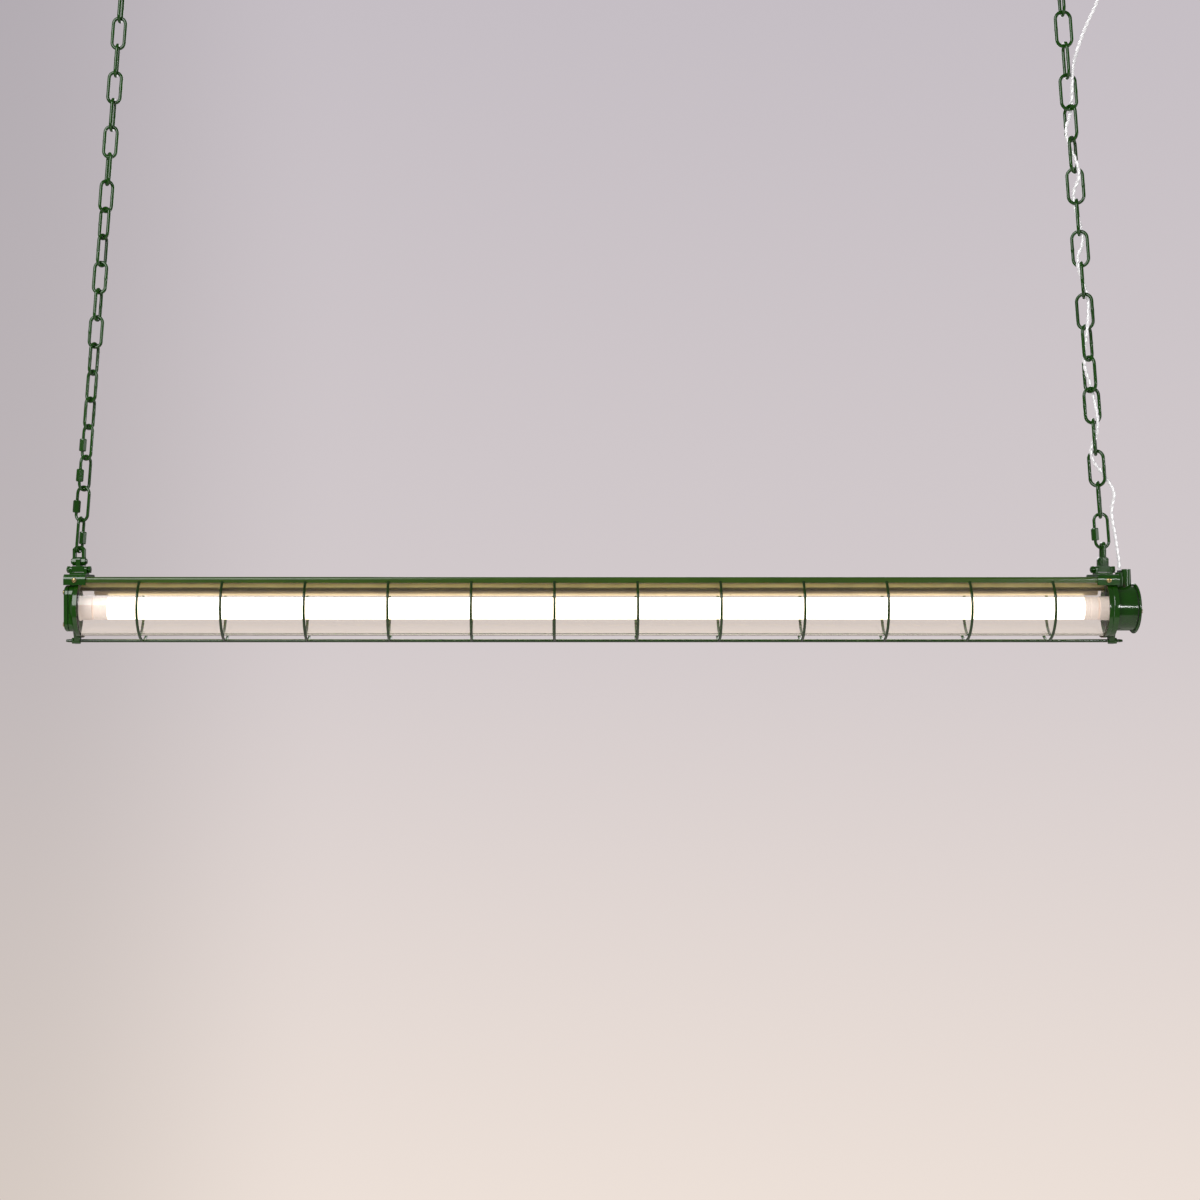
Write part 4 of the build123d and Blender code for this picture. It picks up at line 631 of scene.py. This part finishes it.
def quick_sleeve(leg):
    """Hexagonal sleeve: the smaller of the hexagon and the chamfer cone at each height."""
    around = 48
    half = QUICK["sleeve"] / 2
    angle = np.linspace(0, 2 * pi, around, endpoint=False)
    height = np.array([-half, -half, -half + 1.1, -half + 1.2, half - 1.2, half - 1.1, half, half, -half])
    bore, end, free = QUICK["wire"] / 2 + 0.05, QUICK["flats"] / 2 - 0.35, np.inf
    limit = np.array([bore, end, free, free, free, free, end, bore, bore])
    size = np.minimum(hexagon_size(QUICK["flats"], angle)[None, :], limit[:, None])
    leg_x = leg * (QUICK["width"] - QUICK["wire"]) / 2
    points = np.stack([size * np.cos(angle) + leg_x, size * np.sin(angle),
                       np.repeat(height[:, None], around, axis=1) - QUICK["drop"]], axis=-1)
    return points.reshape(-1, 3), grid_faces(len(height), around)


def make_hook(side, name):
    """Screw hook: shank, bow and rounded tip on one line, a collar, and a coarse thread above."""
    centre = HOOK_BOW_RADIUS - HOOK_DROP[side]
    neck = centre + HOOK_BOW_RADIUS + HOOK_NECK
    angle = np.radians(np.linspace(50, -202, 60))
    bow = np.stack([np.cos(angle), 0 * angle, np.sin(angle)], axis=1) * HOOK_BOW_RADIUS + (0, 0, centre)
    start, end = np.array([0, 0, neck]), bow[0]
    t = np.linspace(0, 1, 12)[:, None]
    control = np.array([0.0, 0, neck - 3.2])
    swing = (1 - t) ** 2 * start + 2 * t * (1 - t) * control + t ** 2 * end
    shank = np.stack([np.zeros(8), np.zeros(8), np.linspace(-0.5, neck + 0.5, 8)], axis=1)
    line = np.vstack([shank, swing, bow[1:]])
    size = np.full(len(line), HOOK_WIRE / 2)
    size[-4:] = HOOK_WIRE / 2 * np.array([0.97, 0.88, 0.72, 0.45])
    shift = np.array([side * HOOK_X, 0, 0])
    wire = tube_along(line + shift, size, 20, (0, 1, 0))
    half = HOOK_WIRE / 2
    height = np.linspace(0, 28.0, 280)
    thread = half * (0.93 + 0.07 * np.cos(height * 2 * pi / 1.8))
    profile = [(-0.6, 0), (-0.6, half)] + list(zip(height, thread)) + [(30.0, half * 0.35), (30.0, 0)]
    screw = turned(profile, 24, "Z", shift)
    rim = 8.0
    edge = [(0, 0), (0, rim), (-1.2, rim), (-2.1, rim - 0.7), (-2.5, rim - 1.8), (-2.5, 0)]
    collar = turned(edge, 48, "Z", shift)
    piece(f"{name}_screw_hook", [wire, screw, collar], "green_paint", "hooks", [name])


# Supply cable

def route_line(name, points):
    """Smooth line of a route: the NURBS curve with the route's points as control points."""
    curve = bpy.data.curves.new(name, "CURVE")
    curve.dimensions = "3D"
    spline = curve.splines.new("NURBS")
    spline.points.add(len(points) - 1)
    for control, point in zip(spline.points, points):
        control.co = (*point, 1)
    spline.order_u = 3
    spline.use_endpoint_u = True
    spline.resolution_u = 24
    holder = bpy.data.objects.new(name, curve)
    scene.collection.objects.link(holder)
    bpy.context.view_layer.update()
    mesh = bpy.data.meshes.new_from_object(holder)
    line = np.array([v.co for v in mesh.vertices])
    bpy.data.objects.remove(holder)
    return line


def even_steps(line, step):
    """The same line with points a fixed step apart."""
    lengths = np.r_[0, np.cumsum(np.linalg.norm(np.diff(line, axis=0), axis=1))]
    wanted = np.linspace(0, lengths[-1], max(8, int(lengths[-1] / step)))
    return np.stack([np.interp(wanted, lengths, line[:, k]) for k in range(3)], axis=1), wanted


def carried_normals(line):
    """Two normals along a line, turned as little as possible from point to point."""
    along = np.gradient(line, axis=0)
    along /= np.linalg.norm(along, axis=1, keepdims=True)
    first = np.cross(np.broadcast_to((0.0, 1.0, 0.0), along.shape), along)
    first /= np.linalg.norm(first, axis=1, keepdims=True)
    return first, np.cross(along, first)


def make_cable(name, points, node):
    """Two silvery cores under clear insulation, twisted round the route's line."""
    line, run = even_steps(route_line(name + "_line", points), 0.0012)
    first, second = carried_normals(line)
    pitch, strand, offset = 0.017, 0.0013, 0.00095
    strands = []
    for turn in (0, pi):
        angle = 2 * pi * run / pitch + turn
        helix = line + offset * (first * np.cos(angle)[:, None] + second * np.sin(angle)[:, None])
        strands.append(tube_along(helix / MM, strand / MM, 10, (0.02, 1, 0.03)))
    # The cores' material carries a painted white glow
    obj = piece(name, strands, "clear_cable", None, [node])
    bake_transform(obj)


# Guard

def lowered(surfaces):
    """Surfaces drawn about the tube axis, dropped to its height."""
    return [(points + np.array([0, 0, AXIS_Z]), faces) for points, faces in surfaces]


def weld_bead(centre, across, size):
    """Rounded bead: a ball stretched along `across`, with ripples along its length."""
    polar, turn = np.linspace(0, pi, 13), np.linspace(0, 2 * pi, 16, endpoint=False)
    along = np.repeat(-np.cos(polar)[:, None], 16, axis=1)
    ripple = 1 + 0.08 * np.cos(5 * polar)[:, None]
    one = np.sin(polar)[:, None] * np.cos(turn) * ripple
    two = np.sin(polar)[:, None] * np.sin(turn) * ripple
    across = np.asarray(across, float)
    side = np.cross(across, (0.3, 0.2, 1.0))
    side /= np.linalg.norm(side)
    up = np.cross(side, across)
    points = along[..., None] * across * size[0]
    points = points + one[..., None] * side * size[1] + two[..., None] * up * size[2]
    return points.reshape(-1, 3) + np.asarray(centre, float), grid_faces(13, 16)


def make_guard():
    """Round hoops with weld beads at the tie rod and at each lip of the channel, and the rod."""
    start = atan2(CHANNEL["half"], CHANNEL["lip"]) + 0.1 / HOOPS["radius"]
    angle = np.linspace(start, 2 * pi - start, 97)
    ring = HOOPS["radius"] * np.stack([0 * angle, np.sin(angle), np.cos(angle)], axis=1)
    ends = ring[[0, -1]] * 0.995
    half = HOOPS["wire"] / 2 * 0.94
    surfaces = []
    for x in np.linspace(HOOPS["first"], HOOPS["last"], HOOPS["count"]):
        place = np.array([x, 0, 0])
        surfaces.append(tube_along(ring + place, half, 14, (1, 0, 0)))
        for end in ends:
            round_hoop = (0.0, -end[2], end[1]) / np.linalg.norm(end)
            surfaces.append(weld_bead(end + place, round_hoop, (1.7, 1.9, 1.9)))
        for side in (-1, 1):
            beside_rod = place + (side * 1.5, 0, HOOPS["drop"] + 0.2)
            surfaces.append(weld_bead(beside_rod, (0, 1, 0), (2.7, 1.5, 1.4)))
    rod = HOOPS["rod"] / 2
    length = np.linspace(0, 1, 400)
    left, right = ROD_ENDS
    x = left + (right - left) * length
    from_end = np.minimum(x - left, right - x)
    thread = np.where(from_end < 16, 0.07 * np.sin(from_end * 2 * pi / 1.6), 0)
    profile = [(left, 0), (left, rod - 0.5)] + list(zip(x[1:-1], rod + thread[1:-1]))
    profile += [(right, rod - 0.5), (right, 0)]
    surfaces.append(turned(profile, 16, "X", (0, 0, HOOPS["drop"])))
    # The cage takes the darker green enamel, painted shade on the thin wires
    piece("wire_guard_cage", lowered(surfaces), "green_paint", "fixture", ["wire_guard"], look="guard_shaded_green")
    nuts = [hex_nut(low, high, NUT_FLATS, (0, 0, HOOPS["drop"])) for low, high in NUTS]
    piece("tie_rod_hex_nuts", lowered(nuts), "green_paint", "fixture", ["tie_rod_nuts"], sharp=25)


def hex_nut(low, high, flats, centre):
    """Hexagonal nut along X: the smaller of the hexagon and a chamfer cone at each step."""
    around = 48
    angle = np.linspace(0, 2 * pi, around, endpoint=False)
    along = np.array([low, low, low + 0.45, high - 0.45, high, high])
    limit = np.array([0, flats / 2, np.inf, np.inf, flats / 2, 0])
    size = np.minimum(hexagon_size(flats, angle)[None, :], limit[:, None])
    points = np.stack([np.repeat(along[:, None], around, axis=1), size * np.sin(angle),
                       size * np.cos(angle)], axis=-1)
    return points.reshape(-1, 3) + np.asarray(centre, float), grid_faces(len(along), around)


# Glass and lamp

def make_glass():
    """Clear tube whose rims are fire-polished: a rounded section turned about the axis."""
    left, right = GLASS["ends"]
    outer, inner, rim = GLASS["outer"], GLASS["outer"] - GLASS["wall"], GLASS["rim"]
    turn = np.linspace(0, pi / 2, 5)
    corner_in, corner_out = rim * (1 - np.sin(turn)), rim * (1 - np.cos(turn))
    section = [(left + a, outer - b) for a, b in zip(corner_in, corner_out)][::-1]
    section += [(right - a, outer - b) for a, b in zip(corner_in, corner_out)]
    section += [(right - a, inner + b) for a, b in zip(corner_in, corner_out)][::-1]
    section += [(left + a, inner + b) for a, b in zip(corner_in, corner_out)]
    section.append(section[0])
    tube = turned(section, 128)
    piece("glass_cover_tube", lowered([tube]), "clear_glass", "fixture", ["glass_tube"], sharp=60)


def make_lamp():
    """Lamp tube and its crimped end caps with two pins each."""
    left, right = LAMP["ends"]
    inset = LAMP["cap_length"] - 1.5
    low, high, radius = left + inset, right - inset, LAMP["radius"]
    body = turned([(low, 0), (low, radius), (high, radius), (high, 0)], 64)
    piece("lit_lamp_tube", lowered([body]), "lamp_glass", "lamp", ["lamp_tube", "lamp_board"])
    caps, pins = [], []
    cap = LAMP["cap"]
    for end, out in ((left, -1), (right, 1)):
        steps = [(0, 0), (0, 10.4), (0.3, 11.2), (1.0, 12.4), (1.9, 13.1), (2.6, cap), (9.6, cap),
                 (10.2, cap - 0.35), (11.4, cap - 0.35), (12.0, cap), (16.7, cap), (17.5, cap - 0.25),
                 (17.5, 12.7)]
        caps.append(turned([(end - out * x, r) for x, r in steps], 64))
        for y in (-LAMP["pin_side"], LAMP["pin_side"]):
            steps = [(-0.2, 0), (-0.2, 2.0), (0.35, 2.0), (0.35, 1.2), (6.3, 1.2), (6.8, 0.9), (7.0, 0)]
            pins.append(turned([(end + out * x, r) for x, r in steps], 20, "X", (0, y, 0)))
    # The end caps carry a painted warm glow
    piece("lamp_end_caps", lowered(caps), "aluminium", "lamp", ["lamp_caps"], sharp=30, look="cap_plastic")
    piece("lamp_contact_pins", lowered(pins), "brass", "lamp", ["lamp_pins"], sharp=30)


def along_x(profile, low, high):
    """Profile of (y, z) points drawn along X, its two ends closed by a fan to its middle."""
    profile = np.asarray(profile, float)
    middle = profile.mean(axis=0)
    rings = []
    for x, share in ((low, 0), (low, 1), (high, 1), (high, 0)):
        ring = middle + (profile - middle) * share
        rings.append(np.column_stack([np.full(len(ring), x), ring]))
    return np.vstack(rings), grid_faces(4, len(profile))


def make_tray():
    """Dark carrier over the lamp, stopping short of the castings, its web and the gold reflector."""
    carrier = [(-9, 20.3), (-10.7, 20.5), (-11, 20.9), (-11, 23.9), (-10, 24.3), (10, 24.3), (11, 23.9),
               (11, 20.9), (10.7, 20.5), (9, 20.3)]
    web = [(-9.2, 24.1), (-9.2, 27.6), (-8.7, 28.1), (8.7, 28.1), (9.2, 27.6), (9.2, 24.1)]
    angle = np.linspace(0, pi, 25)
    lower = [(-10.5 * cos(a), 20.0 - 5.0 * sin(a)) for a in angle]
    # The web takes the same pale olive of painted lamplight as the channel's inner faces
    for name, profile, ends, slot, look in (
            ("lamp_carrier", carrier, TRAY_ENDS, "green_paint", "carrier"),
            ("carrier_web", web, TRAY_ENDS, "green_paint", "channel_inside"),
            ("lamp_reflector", lower, REFLECTOR_ENDS, "zinc_steel", "reflector")):
        piece(name, lowered([along_x(profile, *ends)]), slot, "fixture", look=look)


# Screws

def pan_head(radius, height, slot, depth):
    """Slotted pan head along +X: a dome's height, less the slot's depth where |y| is under its half."""
    rings, around = 26, 48
    share = np.linspace(0, 1, rings)[:, None]
    angle = np.linspace(0, 2 * pi, around, endpoint=False)[None, :]
    y, z = radius * share * np.cos(angle), radius * share * np.sin(angle)
    dome = height * (1 - share ** 6) ** 0.5 + 0 * angle
    cut = np.clip((slot / 2 + 0.12 - np.abs(y)) / 0.12, 0, 1) * (share < 0.97)
    x = np.maximum(dome - cut * depth, 0)
    return np.stack([x, y, z], axis=-1).reshape(-1, 3), grid_faces(rings, around)


def screw_at(seat, along, up, head, length, slot_turn):
    """Screw whose head sits at `seat` and looks along `along`; its shank goes back into the hole."""
    shank = turned([(0, head), (0, 1.5), (-length + 0.8, 1.5), (-length, 0.9), (-length, 0)], 48)
    along, up = np.asarray(along, float), np.asarray(up, float)
    side = np.cross(up, along)
    up_turned = up * cos(slot_turn) + side * sin(slot_turn)
    side_turned = np.cross(up_turned, along)
    turn = np.stack([along, side_turned, up_turned])
    return [(points @ turn + np.asarray(seat, float), faces)
            for points, faces in (pan_head(head, 2.2, 0.9, 1.1), shank)]


def make_screws():
    """Cover screws at both ends and the screws in the saddles' skirts."""
    covers, sides = [], []
    for ring in COVER_SCREWS:
        for n in range(4):
            angle = radians(ring["first"] + 90 * n)
            seat = (ring["seat"], ring["circle"] / 2 * cos(angle), ring["circle"] / 2 * sin(angle))
            covers += screw_at(seat, (ring["out"], 0, 0), (0, 0, 1), SCREW_HEAD, 8.0, 0.7 + 1.9 * n)
    for x in (-HANGER_X, HANGER_X):
        for out in (-1, 1):
            seat = (x, out * SIDE_SCREW_SEAT["y"], SIDE_SCREW_SEAT["z"])
            sides += screw_at(seat, (0, out, 0), (0, 0, 1), SCREW_HEAD, 10.1, 0.5 + out)
    piece("slotted_cover_screws", lowered(covers), "zinc_steel", "fixture", ["cover_screws"], sharp=25,
          look="brass_screw")
    piece("slotted_saddle_screws", lowered(sides), "green_paint", "fixture", ["channel_screws"], sharp=25,
          look="brass_screw")


# CAD pieces with rounded edges

# Width of the rounding of each node's edges, in millimetres
SOFTENED = {
    "end_casting_left": 0.6, "end_cover_left": 0.5, "terminal_box": 0.6, "terminal_box_cover": 0.4,
    "spine_channel": 0.5, "saddle_left": 0.5, "saddle_right": 0.5, "hanger_bracket_left": 0.45,
    "hanger_bracket_right": 0.45, "hanger_block_left": 0.5, "hanger_block_right": 0.5, "shackle_left": 0.8,
    "shackle_right": 0.8, "shackle_pins": 0.4, "hanger_bolts": 0.3, "hanger_nuts": 0.3, "gland_nut": 0.35,
    "gland_seal": 0.3, "rose_cover": 0.6, "rose_bush": 0.4, "lampholder_left": 0.4, "lampholder_right": 0.4,
    "holder_rotors": 0.25, "terminal_block": 0.3, "hanger_studs": 0.2, "cover_gaskets": 0.1,
}
# The lampholders take the white plastic with a painted warm glow
LOOKS = {
    "spine_channel": "channel_green", "lampholder_left": "holder_plastic",
    "lampholder_right": "holder_plastic",
}
INNER_HALF, INNER_TOP = CHANNEL["half"] - CHANNEL["wall"] + 0.1, CHANNEL["top"] - CHANNEL["wall"] + 0.1
GLASS_INNER = GLASS["outer"] - GLASS["wall"] + 0.4
FACING = 0.3                  # least share of a normal that looks along X into the glass


def paint_inside(name, look, inside):
    """Second material, painted light or shade, on the faces whose middle (x, y, z about the axis) and normal
    answer the test.
    """
    mesh = bpy.data.objects[name].data
    mesh.materials.append(materials[look])
    middles, normals = np.empty(len(mesh.polygons) * 3), np.empty(len(mesh.polygons) * 3)
    mesh.polygons.foreach_get("center", middles)
    mesh.polygons.foreach_get("normal", normals)
    x, y, z = middles.reshape(-1, 3).T / MM
    chosen = inside(x, y, z - AXIS_Z, normals.reshape(-1, 3).T)
    mesh.polygons.foreach_set("material_index", chosen.astype(np.int32))


make_camera()
make_floor()
make_world()
make_lights()
make_cable("supply_cable_lower", CABLE_LOWER, "cord_lower")
make_cable("supply_cable_upper", CABLE_UPPER, "cord_upper")
make_chain(-1, "left")
make_chain(1, "right")
make_hook(-1, "hook_left")
make_hook(1, "hook_right")
make_guard()
make_glass()
make_lamp()
make_tray()
make_screws()
for node, width in SOFTENED.items():
    softened(node, width, LOOKS.get(node))
# The channel's inner faces get the pale olive of painted lamplight
paint_inside("spine_channel_finished", "channel_inside",
             lambda x, y, z, normal: (np.abs(y) < INNER_HALF) & (z < INNER_TOP))
# Faces of both castings that look into the glass get painted shade
paint_inside("end_casting_left_finished", "casting_inside",
             lambda x, y, z, normal: (np.hypot(y, z) < GLASS_INNER) & (normal[0] > FACING))
paint_inside("terminal_box_finished", "casting_inside",
             lambda x, y, z, normal: (np.hypot(y, z) < GLASS_INNER) & (normal[0] < -FACING))

# Nodes shown with the CAD model's own mesh
for node, obj in nodes.items():
    obj.data.materials.clear()
    obj.data.materials.append(materials[slot_of_node[node]])

scene.view_settings.view_transform = "Standard"
